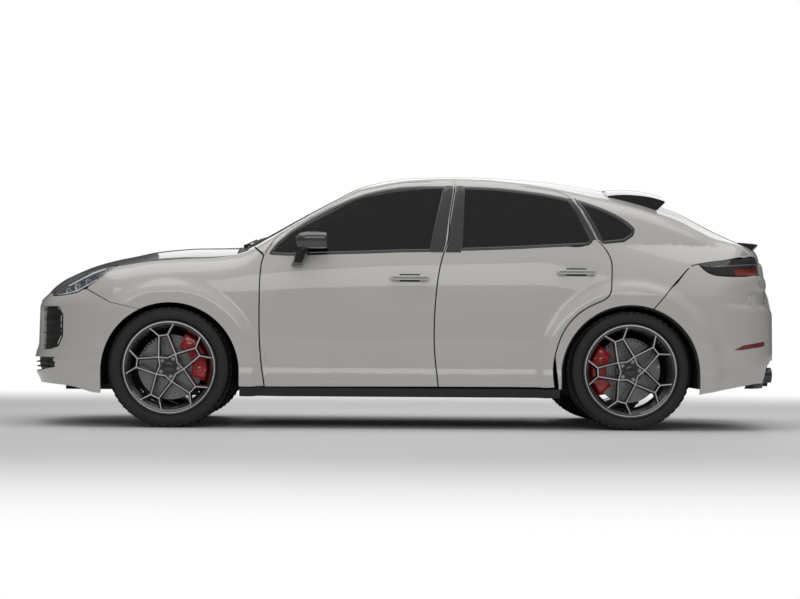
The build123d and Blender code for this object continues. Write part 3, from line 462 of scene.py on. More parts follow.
FRONT_R, REAR_R = 379.0, 374.0
TURNED = {"front": turned_metal("turned_face_front", (0.82, 0.82, 0.83), 0.3, FRONT_AXLE,
                                FRONT_R),
          "rear": turned_metal("turned_face_rear", (0.82, 0.82, 0.83), 0.3, REAR_AXLE, REAR_R)}
DISC = {"front": turned_metal("disc_front", (0.30, 0.30, 0.31), 0.34, FRONT_AXLE, FRONT_R,
                              500.0, 0.4),
        "rear": turned_metal("disc_rear", (0.30, 0.30, 0.31), 0.34, REAR_AXLE, REAR_R,
                             500.0, 0.4)}
SATIN_METAL = metal("satin_metal", (0.62, 0.62, 0.64), 0.28)
DARK_METAL = metal("dark_exhaust_metal", (0.10, 0.10, 0.105), 0.25)
MIRROR_FACE = metal("silvered_face", (0.9, 0.9, 0.92), 0.06)
WHEEL_BLACK = painted("wheel_black_lacquer", (0.012, 0.012, 0.013), 0.35)
CALIPER_RED = painted("caliper_red", (0.50, 0.008, 0.012), 0.35)
print("metals ready")

# %% [markdown]
# Every piece is a mesh that rides on a body of the frame. One helper links a mesh, gives it
# its finishes, smooths it except over sharp edges and says what it rides on. A small class
# collects points and faces, so that boxes, tubes, turned rings and grids share one way in.


# %% Mesh helpers
PIECES = []


def link(name, mesh, body, finishes, angle=35.0):
    obj = bpy.data.objects.new(name, mesh)
    bpy.context.scene.collection.objects.link(obj)
    for finish in finishes if isinstance(finishes, (list, tuple)) else [finishes]:
        mesh.materials.append(finish)
    if angle is not None:
        mesh.shade_smooth()
        mesh.set_sharp_from_angle(angle=math.radians(angle))
    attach(obj, body)
    PIECES.append(obj)
    return obj


def frame_of(direction):
    """Two unit vectors square to a direction and to each other."""
    d = np.asarray(direction, float)
    d = d / np.linalg.norm(d)
    helper = np.array((0, 0, 1.0)) if abs(d[2]) < 0.9 else np.array((1.0, 0, 0))
    u = np.cross(helper, d)
    u /= np.linalg.norm(u)
    return u, np.cross(d, u)


class Shape:
    """Points, in mm, and faces of a piece while it is put together."""

    def __init__(self):
        self.points, self.faces, self.kinds = [], [], []

    def add(self, points, faces, kind=0):
        first = len(self.points)
        self.points += [tuple(float(c) for c in p) for p in points]
        self.faces += [tuple(first + i for i in f) for f in faces]
        self.kinds += [kind] * len(faces)
        return self

    def grid(self, rows, kind=0, wrap=False, wrap_rows=False):
        """A sheet of four-sided faces over rows of points."""
        rows = [list(row) for row in rows]
        n, m = len(rows), len(rows[0])
        faces = []
        for i in range(n if wrap_rows else n - 1):
            for j in range(m if wrap else m - 1):
                a, b = i * m + j, i * m + (j + 1) % m
                k = (i + 1) % n
                faces.append((a, b, k * m + (j + 1) % m, k * m + j))
        return self.add([p for row in rows for p in row], faces, kind)

    def box(self, centre, size, turn=None, kind=0):
        turn = np.eye(3) if turn is None else turn
        corners = [np.array(centre) + turn @ (np.array((i, j, k)) * np.array(size) / 2)
                   for i in (-1, 1) for j in (-1, 1) for k in (-1, 1)]
        faces = [(0, 1, 3, 2), (4, 6, 7, 5), (0, 4, 5, 1), (2, 3, 7, 6), (0, 2, 6, 4),
                 (1, 5, 7, 3)]
        return self.add(corners, faces, kind)

    def spin(self, profile, centre, steps=64, kind=0, axis=(0, 1, 0), closed=True):
        """A profile of (radius, offset) corners turned round an axis through a centre."""
        axis = np.asarray(axis, float)
        u, v = frame_of(axis)
        rows = []
        for i in range(steps):
            a = 2 * math.pi * i / steps
            out = u * math.cos(a) + v * math.sin(a)
            rows.append([np.array(centre) + out * r + axis * w for r, w in profile])
        return self.grid(rows, kind, wrap=closed, wrap_rows=True)

    def tube(self, path, radius, sides=12, kind=0, caps=True):
        """A round tube along a path; the radius may differ from point to point."""
        path = [np.asarray(p, float) for p in path]
        radii = [radius] * len(path) if np.isscalar(radius) else radius
        rows, u = [], None
        for i, p in enumerate(path):
            d = path[min(i + 1, len(path) - 1)] - path[max(i - 1, 0)]
            d = d / np.linalg.norm(d)
            if u is None:
                u, _ = frame_of(d)
            u = u - d * np.dot(u, d)
            u /= np.linalg.norm(u)
            v = np.cross(d, u)
            rows.append([p + radii[i] * (u * math.cos(a) + v * math.sin(a)) for a in
                         np.linspace(0, 2 * math.pi, sides, endpoint=False)])
        first = len(self.points)
        self.grid(rows, kind, wrap=True)
        if caps:
            last = first + (len(rows) - 1) * sides
            self.faces += [tuple(first + i for i in reversed(range(sides))),
                           tuple(last + i for i in range(sides))]
            self.kinds += [kind, kind]
        return self

    def slab(self, outline, direction, depth, kind=0):
        """A flat closed outline, a list of points, pushed along a direction."""
        push = np.asarray(direction, float) * depth
        n = len(outline)
        points = [np.asarray(p, float) for p in outline]
        points += [p + push for p in points]
        faces = [tuple(range(n)), tuple(range(2 * n - 1, n - 1, -1))]
        faces += [((i + 1) % n, i, n + i, n + (i + 1) % n) for i in range(n)]
        return self.add(points, faces, kind)

    def close(self, rows, kind=0):
        """Flat faces over the first and the last row."""
        for row in (rows[0], rows[-1]):
            self.add(row, [tuple(range(len(row)))], kind)
        return self

    def join(self, other):
        return self.add(other.points, other.faces)

    def mirrored(self):
        other = Shape()
        other.points = [(x, -y, z) for x, y, z in self.points]
        other.faces = [tuple(reversed(f)) for f in self.faces]
        other.kinds = list(self.kinds)
        return other

    def both(self):
        """The piece and its mirror image, as one."""
        twin, first = self.mirrored(), len(self.points)
        self.points += twin.points
        self.faces += [tuple(first + i for i in f) for f in twin.faces]
        self.kinds += twin.kinds
        return self

    def mesh(self, name, round_off=0.0, steps=2, limit=30.0):
        """The Blender mesh, with its edges rounded by a radius in mm if one is given."""
        bm = bmesh.new()
        corners = [bm.verts.new(np.array(p) * MM) for p in self.points]
        for face, kind in zip(self.faces, self.kinds):
            if len(set(face)) > 2:
                try:
                    bm.faces.new([corners[i] for i in face]).material_index = kind
                except ValueError:
                    continue
        bmesh.ops.remove_doubles(bm, verts=bm.verts, dist=2e-5)
        bmesh.ops.recalc_face_normals(bm, faces=bm.faces)
        if round_off:
            sharp = [e for e in bm.edges if len(e.link_faces) == 2
                     and e.calc_face_angle(0) > math.radians(limit)]
            bmesh.ops.bevel(bm, geom=sharp, offset=round_off * MM, segments=steps,
                            affect="EDGES", clamp_overlap=True)
        data = bpy.data.meshes.new(name)
        bm.to_mesh(data)
        bm.free()
        return data


def build(name, shape, body, finishes, round_off=0.0, steps=2, angle=35.0):
    made = link(name, shape.mesh(name, round_off, steps), body, finishes, angle)
    return made


def on_each_side(name, shape, body, finishes, round_off=0.0, steps=2, angle=35.0):
    """The left piece and its mirror image, each on its own side's body."""
    return [build(f"{name}_{side}", part, body.format(side), finishes, round_off, steps,
                  angle)
            for side, part in (("left", shape), ("right", shape.mirrored()))]


print("mesh helpers ready")

# %% [markdown]
# A CAD node's mesh is a set of triangles of uneven size, and its own smoothing shows where
# they meet. Each outer panel is therefore copied, its long edges are divided, and the points
# on its outer face are moved onto the skin rule. The rule also gives the exact normals, so
# reflections run from the wing over the doors to the tail without a break.


# %% Panels that follow the skin
def coordinates(mesh):
    out = np.empty(len(mesh.vertices) * 3)
    mesh.vertices.foreach_get("co", out)
    return out.reshape(-1, 3) / MM


def sort_faces(mesh, tolerance, depth):
    """For each face: 1 on the outer skin, -1 on a pane's inner skin, otherwise 0."""
    count = len(mesh.polygons)
    centre, normal = np.empty(count * 3), np.empty(count * 3)
    mesh.polygons.foreach_get("center", centre)
    mesh.polygons.foreach_get("normal", normal)
    centre, normal = centre.reshape(-1, 3) / MM, normal.reshape(-1, 3)
    g = steepest(centre)
    g /= np.linalg.norm(g, axis=1)[:, None]
    facing = (g * normal).sum(1)
    away = outside(centre)
    kind = np.where((facing > 0.6) & (np.abs(away) < tolerance), 1, 0)
    if depth:
        kind = np.where((facing < -0.6) & (np.abs(away + depth) < tolerance), -1, kind)
    return kind, normal


def skin_panel(node, finishes, body, limit=26.0, tolerance=14.0, depth=0.0):
    """A copy of a CAD panel with its outer face laid exactly on the skin."""
    bm = bmesh.new()
    bm.from_mesh(NODES[node].data)
    bmesh.ops.remove_doubles(bm, verts=bm.verts, dist=1e-5)
    data = bpy.data.meshes.new(node + "_dressed")
    bm.to_mesh(data)
    for _ in range(3):
        kind, _ = sort_faces(data, tolerance, depth)
        bm.faces.ensure_lookup_table()
        long_edges = {e for i in np.nonzero(kind)[0] for e in bm.faces[int(i)].edges
                      if e.calc_length() > limit * MM * 1.3}
        if not long_edges:
            break
        bmesh.ops.subdivide_edges(bm, edges=list(long_edges), cuts=1)
        bmesh.ops.triangulate(bm, faces=[f for f in bm.faces if len(f.verts) > 3])
        bm.to_mesh(data)
    bm.free()
    kind, normal = sort_faces(data, tolerance, depth)
    points = coordinates(data)
    corners = np.empty(len(data.loops), int)
    data.loops.foreach_get("vertex_index", corners)
    of_loop = np.repeat(np.arange(len(data.polygons)),
                        [p.loop_total for p in data.polygons])
    for level, which in ((0.0, 1), (-depth, -1)):
        chosen = np.unique(corners[kind[of_loop] == which])
        if len(chosen):
            points[chosen] = settle(points[chosen], level)
    data.vertices.foreach_set("co", (points * MM).ravel())
    data.update()
    g = steepest(points)
    g /= np.linalg.norm(g, axis=1)[:, None]
    kind, normal = sort_faces(data, tolerance, depth)
    loop_kind = kind[of_loop][:, None]
    chosen = np.where(loop_kind == 0, normal[of_loop], g[corners] * loop_kind)
    data.shade_smooth()
    data.normals_split_custom_set(chosen.tolist())
    made = link(node + "_dressed", data, body, finishes, None)
    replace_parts(made, node)
    return made


PANELS = [("body_sides", BODY_PAINT, "body", "body_paint"),
          ("front_fenders", BODY_PAINT, "body", "body_paint"),
          ("front_bumper", BODY_PAINT, "body", "body_paint"),
          ("rear_bumper", BODY_PAINT, "body", "body_paint"),
          ("roof_panel", BLACK_PAINT, "body", "black_paint"),
          ("cowl_panel", BLACK_PLASTIC, "body", "black_plastic"),
          ("side_sills", BLACK_PLASTIC, "body", "black_plastic"),
          ("bonnet", BLACK_PAINT, "bonnet", "black_paint"),
          ("tailgate", BODY_PAINT, "tailgate", "body_paint")]
PANELS += [(f"{end}_door_{side}", BODY_PAINT, f"{end}_door_{side}", "body_paint")
           for end in ("front", "rear") for side in SIDES]
PANES = [("windscreen", SCREEN_GLASS, "body", "glass"),
         ("quarter_glass", TINTED_GLASS, "body", "glass"),
         ("tailgate_glass", TINTED_GLASS, "tailgate", "glass")]
PANES += [(f"{end}_door_glass_{side}", TINTED_GLASS, f"{end}_door_{side}", "glass")
          for end in ("front", "rear") for side in SIDES]
for node, finish, body, slot in PANELS:
    skin_panel(node, finish, body)
for node, finish, body, slot in PANES:
    skin_panel(node, finish, body, depth=5.0)
print("dressed", len(PIECES), "panels,", sum(len(o.data.polygons) for o in PIECES), "faces")

# %% [markdown]
# Black trim frames every side window, covers the door pillars and hides the edge of the
# glass. Each strip is a narrow sheet laid on the skin between two lines in side view, a
# millimetre or two proud of it, with its edges turned in.

# %% Window lines in side view
FRONT_WINDOW = [(-862, 1098), (-812, 1168), (-728, 1244), (-606, 1326), (-478, 1396),
                (-352, 1452), (-258, 1486), (-162, 1511), (-34, 1532), (94, 1539), (252, 1539),
                (220, 1400), (188, 1262), (155, 1122), (-39, 1118), (-260, 1109), (-481, 1102),
                (-733, 1092)]
REAR_WINDOW = [(366, 1538), (478, 1535), (606, 1528), (734, 1514), (862, 1497), (989, 1474),
               (1030, 1465), (1085, 1394), (1132, 1295), (1180, 1196), (1150, 1170),
               (970, 1160), (718, 1145), (466, 1134), (342, 1130), (350, 1266), (358, 1402)]
QUARTER_WINDOW = [(1080, 1459), (1117, 1448), (1180, 1427), (1245, 1403), (1309, 1374),
                  (1373, 1338), (1425, 1299), (1450, 1268), (1437, 1232), (1380, 1195),
                  (1240, 1180), (1190, 1290), (1130, 1396)]
DOOR_SPLIT = [(312, 1568), (300, 1480), (276, 1348), (250, 1157), (235, 1117), (216, 1055)]
REAR_EDGE = [(1045, 1491), (1105, 1404), (1160, 1300), (1212, 1190)]


def rounded(points, spacing=22.0, closed=True):
    """A line of evenly spaced points through the given ones."""
    pts = np.asarray(points, float)
    if closed:
        pts = np.vstack([pts, pts[:1]])
    run = np.r_[0, np.cumsum(np.linalg.norm(np.diff(pts, axis=0), axis=1))]
    at = np.linspace(0, run[-1], max(int(run[-1] / spacing), 2) + 1)
    line = np.c_[[np.interp(at, run, pts[:, k]) for k in range(pts.shape[1])]].T
    return line[:-1] if closed else line


def offset(line, amount, closed=True):
    """The line moved outwards in its own plane, where it runs clockwise or not."""
    line = np.asarray(line, float)
    after = np.roll(line, -1, axis=0) if closed else np.vstack([line[1:], line[-1:]])
    before = np.roll(line, 1, axis=0) if closed else np.vstack([line[:1], line[:-1]])
    d = after - before
    d /= np.linalg.norm(d, axis=1)[:, None]
    area = np.sum(line[:, 0] * np.roll(line[:, 1], -1) - np.roll(line[:, 0], -1) * line[:, 1])
    sign = 1 if area > 0 else -1
    return line + sign * amount * np.c_[d[:, 1], -d[:, 0]]


def strip(inner, outer, lift=2.0, sink=4.0, closed=True, across=6):
    """A raised strip on the left side between two lines of (x, z) points."""
    rows = []
    for t in np.linspace(0, 1, across):
        rise = lift * (1 - (2 * t - 1)**6)
        rows.append(on_side(inner + (outer - inner) * t, rise))
    rows = [on_side(inner, -sink)] + rows + [on_side(outer, -sink)]
    shape = Shape().grid(rows, wrap=closed)
    return shape if closed else shape.close([[row[k] for row in rows] for k in (0, -1)])


for name, window, body in (("front_window_trim", FRONT_WINDOW, "front_door_{}"),
                           ("rear_window_trim", REAR_WINDOW, "rear_door_{}"),
                           ("quarter_window_trim", QUARTER_WINDOW, "body")):
    line = rounded(window)
    on_each_side(name, strip(offset(line, -12), offset(line, 7)), body, BLACK_PAINT)

# %% Pillar covers


def between(line, heights):
    """The x of a line at each height, for a line given from the top down."""
    pts = np.asarray(line, float)[::-1]
    return np.c_[np.interp(heights, pts[:, 1], pts[:, 0]), heights]


heights = np.linspace(1546, 1114, 16)
split = between(DOOR_SPLIT, heights)
front_glass = between([(252, 1539), (155, 1122)], heights)
rear_glass = between([(366, 1538), (342, 1130)], heights)
on_each_side("front_pillar_cover",
             strip(front_glass - (4, 0), split - (3.5, 0), 2.8, closed=False),
             "front_door_{}", BLACK_PAINT)
on_each_side("rear_pillar_cover",
             strip(split + (11.5, 0), rear_glass + (4, 0), 2.8, closed=False),
             "rear_door_{}", BLACK_PAINT)
heights = np.linspace(1468, 1200, 12)
door_end = between(REAR_EDGE, heights)
on_each_side("rear_door_end_cover",
             strip(between([(1030, 1468), (1085, 1394), (1132, 1295), (1180, 1196)], heights)
                   - (2, 0), door_end - (2.5, 0), 2.8, closed=False),
             "rear_door_{}", BLACK_PAINT)
on_each_side("quarter_front_cover",
             strip(door_end + (11, 0), between([(1080, 1468), (1130, 1396), (1190, 1290),
                                                (1240, 1180)], heights) + (3, 0), 2.8,
                   closed=False),
             "body", BLACK_PAINT)
print("window trim on", len(PIECES), "pieces")

# %% [markdown]
# The wheels are the part's jewellery. Ten thin bars form a star whose lines cross round the
# hub and fork before they reach the ring. On a real wheel the casting is lacquered black and
# then its face is turned, so each bar is a black wedge with a narrow bright top.

# %% Wheel sizes
WHEELS = {"front": dict(axle=FRONT_AXLE, radius=FRONT_R, width=285.0, phase=28.6),
          "rear": dict(axle=REAR_AXLE, radius=REAR_R, width=315.0, phase=38.6)}
TYRE_FACE, FLANGE_R = 982.0, 300.0


def wheel_point(wheel, radius, degrees, depth=0.0):
    """A point at a radius and angle on the wheel's outer face, or behind it by a depth."""
    a = math.radians(degrees)
    face = -TYRE_FACE + 8.0
    return np.array((wheel["axle"] + radius * math.cos(a), face + depth,
                     wheel["radius"] + radius * math.sin(a)))


def dish(radius):
    """How far the face of the star lies behind the ring at a radius."""
    return 5.0 + 14.0 * smooth_step((285.0 - radius) / 230.0)


def bar(shape, wheel, path, top=7.0, foot=26.0, deep=34.0):
    """A wedge-shaped bar along a path of (radius, angle), bright on top, mitred at bends."""
    flat = [np.array((r * math.cos(math.radians(a)), r * math.sin(math.radians(a))))
            for r, a in path]
    rows = []
    for i, p in enumerate(flat):
        before = p - flat[i - 1] if i else flat[1] - p
        after = flat[i + 1] - p if i < len(flat) - 1 else before
        n = before / np.linalg.norm(before) + after / np.linalg.norm(after)
        n = np.array((-n[1], n[0])) / np.linalg.norm(n)
        stretch = 1 / max(abs(np.dot(n, np.array((-before[1], before[0])))
                              / np.linalg.norm(before)), 0.5)
        depth = dish(float(np.linalg.norm(p)))
        row = []
        for half, down in ((-foot / 2, deep), (-foot / 2 + 3, deep * 0.45), (-top / 2 - 1.2, 1.6),
                           (-top / 2, 0.0), (top / 2, 0.0), (top / 2 + 1.2, 1.6),
                           (foot / 2 - 3, deep * 0.45), (foot / 2, deep)):
            q = p + n * half * stretch
            row.append((wheel["axle"] + q[0], -TYRE_FACE + 8 + depth + down,
                        wheel["radius"] + q[1]))
        rows.append(row)
    for j in range(8):
        kind = 1 if j == 3 else 0
        shape.grid([[row[j], row[(j + 1) % 8]] for row in rows], kind)
    shape.close(rows)


def make_rim(end):
    wheel = WHEELS[end]
    half = wheel["width"] / 2
    centre = np.array((wheel["axle"], -TYRE_FACE + half, wheel["radius"]))
    lip, seat = half - 8, half - 17
    shape = Shape()
    shape.spin([(262, -lip + 26), (266, -lip + 8), (279, -lip + 3.5), (281.5, -lip + 0.5),
                (288.5, -lip), (290, -lip + 3), (297, -lip + 3), (299, -lip),
                (FLANGE_R, -lip + 2), (FLANGE_R, -seat), (283, -seat), (279, -half * 0.55),
                (250, -half * 0.35), (250, half * 0.5), (283, seat), (FLANGE_R, seat),
                (FLANGE_R, lip), (292, lip), (262, lip - 16), (242, half * 0.45),
                (242, -half * 0.3), (254, -half * 0.5)], centre, 128)
    shape.spin([(281.5, -lip + 0.3), (288.5, -lip - 0.4), (288.5, -lip + 1.5),
                (281.5, -lip + 1.5)], centre, 128, kind=1)
    star = Shape()
    for k in range(5):
        arm = wheel["phase"] + 72 * k
        bar(star, wheel, [(207, arm + 7.6), (92, arm + 36), (59, arm + 72), (92, arm + 108),
                          (207, arm + 136.4)])
        bar(star, wheel, [(206, arm - 8.4), (206, arm + 8.4)])
        for side in (-1, 1):
            bar(star, wheel, [(205, arm + 7.4 * side), (284, arm + 17.0 * side)])
    hub = Shape()
    outline = []
    for k in range(5):
        arm = wheel["phase"] + 72 * k
        outline += [wheel_point(wheel, 66, arm), wheel_point(wheel, 97, arm + 36)]
    hub.slab([p + (0, 24, 0) for p in outline], (0, 1, 0), 46)
    hub.spin([(0, 30), (80, 30), (80, 122), (0, 122)], wheel_point(wheel, 0, 0), 48)
    return shape, star, hub


def make_hub_details(end):
    """Centre cap and five wheel bolts in their wells."""
    wheel = WHEELS[end]
    shape = Shape()
    middle = wheel_point(wheel, 0, 0)
    shape.spin([(0, 15), (20, 15.4), (29, 17.5), (32.5, 21), (33, 30), (0, 30)], middle, 48)
    for k in range(5):
        at = wheel_point(wheel, 59, wheel["phase"] + 36 + 72 * k)
        shape.spin([(13.5, 23), (13.5, 25.5), (10, 26), (10, 23)], at, 24, kind=1)
        hexagon = [at + (9 * math.cos(a), 19, 9 * math.sin(a)) for a in
                   np.linspace(0, 2 * math.pi, 6, endpoint=False)]
        shape.slab(hexagon, (0, 1, 0), 8, kind=1)
    return shape


for end in WHEELS:
    rim, star, hub = make_rim(end)
    finishes = [WHEEL_BLACK, TURNED[end]]
    for name, shape, rounding in (("ring", rim, 0), ("star", star, 0), ("hub", hub, 2.5)):
        made = on_each_side(f"{end}_rim_{name}", shape, end + "_wheel_{}", finishes,
                            rounding, angle=28)
        if name == "ring":
            for side, obj in zip(SIDES, made):
                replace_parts(obj, f"{end}_rim_{side}")
    on_each_side(f"{end}_hub_cap", make_hub_details(end), end + "_wheel_{}",
                 [WHEEL_BLACK, SATIN_METAL], 0.8)
print("wheels have", sum(len(o.data.polygons) for o in PIECES if "_rim_" in o.name), "faces")

# %% [markdown]
# A low tyre shows its sidewall: a rim guard, a shallow band and the rounded shoulder. It is
# one turned profile. The tread repeats all the way round, so Geometry Nodes place one block
# on every step of a circle and turn it to face outwards.


# %% Tyre carcass
def make_tyre(end):
    wheel = WHEELS[end]
    w, radius = wheel["width"] / 2, wheel["radius"]
    wall = radius - FLANGE_R
    half = [(283, w - 24), (FLANGE_R + 0.6, w - 17.5), (FLANGE_R + 3, w - 11),
            (FLANGE_R + 6, w - 4), (FLANGE_R + 10, w - 1.5), (FLANGE_R + 14, w - 4.5),
            (FLANGE_R + wall * 0.30, w - 2.2), (FLANGE_R + wall * 0.36, w - 0.6),
            (FLANGE_R + wall * 0.40, w - 1.6), (FLANGE_R + wall * 0.58, w - 3.2),
            (FLANGE_R + wall * 0.61, w - 5.0), (FLANGE_R + wall * 0.72, w - 7.5),
            (radius - 14, w - 13), (radius - 9, w - 22), (radius - 8, w - 34)]
    grooves = []
    for place in (0.52, 0.17):
        c = w * place
        grooves += [(radius - 8, c + 9), (radius - 11, c + 7), (radius - 11, c - 7),
                    (radius - 8, c - 9)]
    outer = half + grooves
    profile = [(r, -y) for r, y in outer] + [(r, y) for r, y in outer[::-1]]
    inner = [(radius - 22, w - 45), (FLANGE_R + 25, w - 14), (290, w - 26)]
    profile += [(r, y) for r, y in inner[::-1]] + [(r, -y) for r, y in inner]
    return Shape().spin(profile, (wheel["axle"], -TYRE_FACE + w, radius), 160)


for end in WHEELS:
    for side, obj in zip(SIDES, on_each_side(f"{end}_tyre_carcass", make_tyre(end),
                                             end + "_wheel_{}", RUBBER, angle=24)):
        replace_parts(obj, f"{end}_tyre_{side}")

# %% Tread by Geometry Nodes


def socket_id(tree, name):
    return next(item.identifier for item in tree.interface.items_tree
                if item.item_type == "SOCKET" and item.name == name
                and item.in_out == "INPUT")


def wheel_ring_tree():
    """Copies of one block round a circle in the XZ plane, each turned to face outwards."""
    tree = bpy.data.node_groups.new("blocks_round_a_wheel", "GeometryNodeTree")
    face = tree.interface
    face.new_socket("Geometry", in_out="INPUT", socket_type="NodeSocketGeometry")
    face.new_socket("Block", in_out="INPUT", socket_type="NodeSocketObject")
    face.new_socket("Count", in_out="INPUT", socket_type="NodeSocketInt")
    face.new_socket("Radius", in_out="INPUT", socket_type="NodeSocketFloat")
    face.new_socket("Turn", in_out="INPUT", socket_type="NodeSocketFloat")
    face.new_socket("Centre", in_out="INPUT", socket_type="NodeSocketVector")
    face.new_socket("Finish", in_out="INPUT", socket_type="NodeSocketMaterial")
    face.new_socket("Geometry", in_out="OUTPUT", socket_type="NodeSocketGeometry")
    nodes, links = tree.nodes, tree.links

    def node(kind, settings=None, inputs=None):
        made = nodes.new(kind)
        for key, value in (settings or {}).items():
            setattr(made, key, value)
        for key, value in (inputs or {}).items():
            if isinstance(value, bpy.types.NodeSocket):
                links.new(value, made.inputs[key])
            else:
                made.inputs[key].default_value = value
        return made

    given = node("NodeGroupInput").outputs
    circle = node("GeometryNodeMeshCircle", {}, {"Vertices": given["Count"],
                                                 "Radius": given["Radius"]})
    outward = node("GeometryNodeInputPosition")
    facing = node("FunctionNodeAlignRotationToVector", {"axis": "Z"},
                  {"Vector": outward.outputs[0]})
    block = node("GeometryNodeObjectInfo", {}, {"Object": given["Block"]})
    placed = node("GeometryNodeInstanceOnPoints", {}, {
        "Points": circle.outputs[0], "Instance": block.outputs["Geometry"],
        "Rotation": facing.outputs[0]})
    spin = node("ShaderNodeCombineXYZ", {}, {"X": math.pi / 2, "Y": given["Turn"]})
    turned = node("GeometryNodeTransform", {}, {
        "Geometry": placed.outputs[0], "Translation": given["Centre"],
        "Rotation": spin.outputs[0]})
    real = node("GeometryNodeRealizeInstances", {}, {0: turned.outputs[0]})
    painted_mesh = node("GeometryNodeSetMaterial", {}, {"Geometry": real.outputs[0],
                                                        "Material": given["Finish"]})
    out = node("NodeGroupOutput")
    links.new(painted_mesh.outputs[0], out.inputs[0])
    return tree


WHEEL_RING = wheel_ring_tree()


def ring_of_blocks(name, block, count, radius, centre, finish, turn=0.0):
    """The mesh that the tree makes from one block, as points in mm and faces."""
    source = bpy.data.objects.new(name + "_block", block.mesh(name + "_block"))
    holder = bpy.data.objects.new(name + "_holder", bpy.data.meshes.new(name + "_holder"))
    for obj in (source, holder):
        bpy.context.scene.collection.objects.link(obj)
    modifier = holder.modifiers.new("ring", "NODES")
    modifier.node_group = WHEEL_RING
    for label, value in (("Block", source), ("Count", count), ("Radius", radius * MM),
                         ("Turn", turn), ("Centre", Vector(centre) * MM), ("Finish", finish)):
        modifier[socket_id(WHEEL_RING, label)] = value
    graph = bpy.context.evaluated_depsgraph_get()
    result = bpy.data.meshes.new_from_object(holder.evaluated_get(graph))
    points = coordinates(result)
    faces = [tuple(p.vertices) for p in result.polygons]
    for obj in (source, holder):
        bpy.data.objects.remove(obj)
    return points, faces


def tread(end):
    """Five ribs of blocks, the outer ones slanted, round the whole tyre."""
    wheel = WHEELS[end]
    w, radius = wheel["width"] / 2, wheel["radius"]
    shape, count = Shape(), 66
    pitch = 2 * math.pi * radius / count
    for lane, (low, high, lean, share) in enumerate((
            (-w * 0.93, -w * 0.57, 7.0, 0.86), (-w * 0.47, -w * 0.22, 12.0, 0.84),
            (-w * 0.12, w * 0.12, 0.0, 0.93), (w * 0.22, w * 0.47, -12.0, 0.84),
            (w * 0.57, w * 0.93, -7.0, 0.86))):
        block, half = Shape(), pitch * share / 2
        tops, feet = [], []
        for x, y in ((-half, low), (half, low), (half, high), (-half, high)):
            slant = lean * (1 if y == high else -1)
            drop = 5.5 if abs(y) > w * 0.9 else 0.5
            tops.append((x + slant, -y, -drop))
            feet.append((x * 1.06 + slant, -y, -13.0))
        block.grid([feet + feet[:1], tops + tops[:1]])
        block.add(tops, [(0, 1, 2, 3)])
        shape.add(*ring_of_blocks(f"{end}_tread_{lane}", block, count, radius,
                                  (wheel["axle"], -TYRE_FACE + w, radius), RUBBER,
                                  turn=0.02 * lane))
    return shape


for end in WHEELS:
    on_each_side(f"{end}_tread", tread(end), end + "_wheel_{}", RUBBER, angle=30)
print("tread blocks", sum(len(o.data.polygons) for o in PIECES if "_tread" in o.name) // 5)

# %% [markdown]
# Behind the spokes sit a vented disc and a caliper. The disc is one turned profile with a
# slot round its edge, crossed by vanes. The caliper is an arc whose section wraps the disc.

# %% Discs
DISC_AT = {"front": -839.5, "rear": -824.5}
for end, wheel in WHEELS.items():
    middle = (wheel["axle"], DISC_AT[end], wheel["radius"])
    shape = Shape().spin([(60, -20), (78, -20), (81, -16), (82, -1), (118, 0), (205, 0), (206, 1.5),
                          (206, 11), (190, 11), (190, 23), (206, 23), (206, 32.5), (205, 34),
                          (60, 34)], middle, 96)
    vane = Shape().box((0, -17, -8), (3, 12, 16))
    shape.add(*ring_of_blocks(end + "_vanes", vane, 60, 206.0, middle, DISC[end]))
    # The drilled holes are not cut: thin discs in the dark seal rubber finish lie on the disc face
    # as painted shade where the holes would be.
    for lane in range(4):
        hole_shade = Shape().spin([(0, -0.4), (3.6, -0.4), (3.6, 0.4), (0, 0.4)], (0, 0, 0), 10)
        shape.add(*ring_of_blocks(f"{end}_holes_{lane}", hole_shade, 30, 125.0 + 21 * lane, middle,
                                  SEAL, turn=0.07 * lane), kind=1)
    for side, obj in zip(SIDES, on_each_side(f"{end}_disc_vented", shape, end + "_wheel_{}",
                                             [DISC[end], SEAL])):
        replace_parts(obj, f"{end}_disc_{side}")

# %% Calipers


def caliper(end, middle, half_span, bores):
    wheel = WHEELS[end]
    axle, height, y = wheel["axle"], wheel["radius"], DISC_AT[end] + 17
    section = [(140, -27), (140, -50), (148, -56), (219, -57), (231, -51), (237, -38),
               (238, -15), (238, 15), (237, 38), (231, 51), (219, 57), (148, 56), (140, 50),
               (140, 27), (212, 27), (212, -27)]
    rows = []
    for a in np.linspace(-half_span, half_span, 25):
        edge = smooth_step((half_span - abs(a)) / 7.0) * 0.16 + 0.84
        turn = math.radians(middle + a)
        rows.append([(axle + r * math.cos(turn), y + w * (edge if abs(w) > 30 else 1),
                      height + r * math.sin(turn)) for r, w in section])
    shape = Shape().grid(rows, wrap=True).close(rows)
    for a in bores:
        turn = math.radians(middle + a)
        at = (axle + 182 * math.cos(turn), y - 57, height + 182 * math.sin(turn))
        shape.spin([(0, -4.5), (20, -4.5), (24, -2), (25, 3), (0, 3)], at, 32)
        low = (axle + 224 * math.cos(turn), y, height + 224 * math.sin(turn))
        shape.spin([(0, -60), (5, -60), (5, 60), (0, 60)], low, 12, kind=1)
    return shape


for name, shape, body in (
        ("front_caliper", caliper("front", 22, 44, (-27, 0, 27)), "front_knuckle_{}"),
        ("rear_caliper", caliper("rear", 180, 42, (-20, 20)), "body")):
    made = on_each_side(name + "_cast", shape, body, [CALIPER_RED, SATIN_METAL], 1.6)
    if name == "front_caliper":
        for side, obj in zip(SIDES, made):
            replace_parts(obj, f"front_caliper_{side}")
    else:
        for obj in made:
            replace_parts(obj, "rear_calipers")
print("brakes dressed")

# %% [markdown]
# A lamp is a clear sheet over a dark bowl with parts in it. The sheet follows the skin, so
# its grid is laid on the skin first, and the bowl is the same grid moved inwards.

# %% Sheets between two depths of the skin


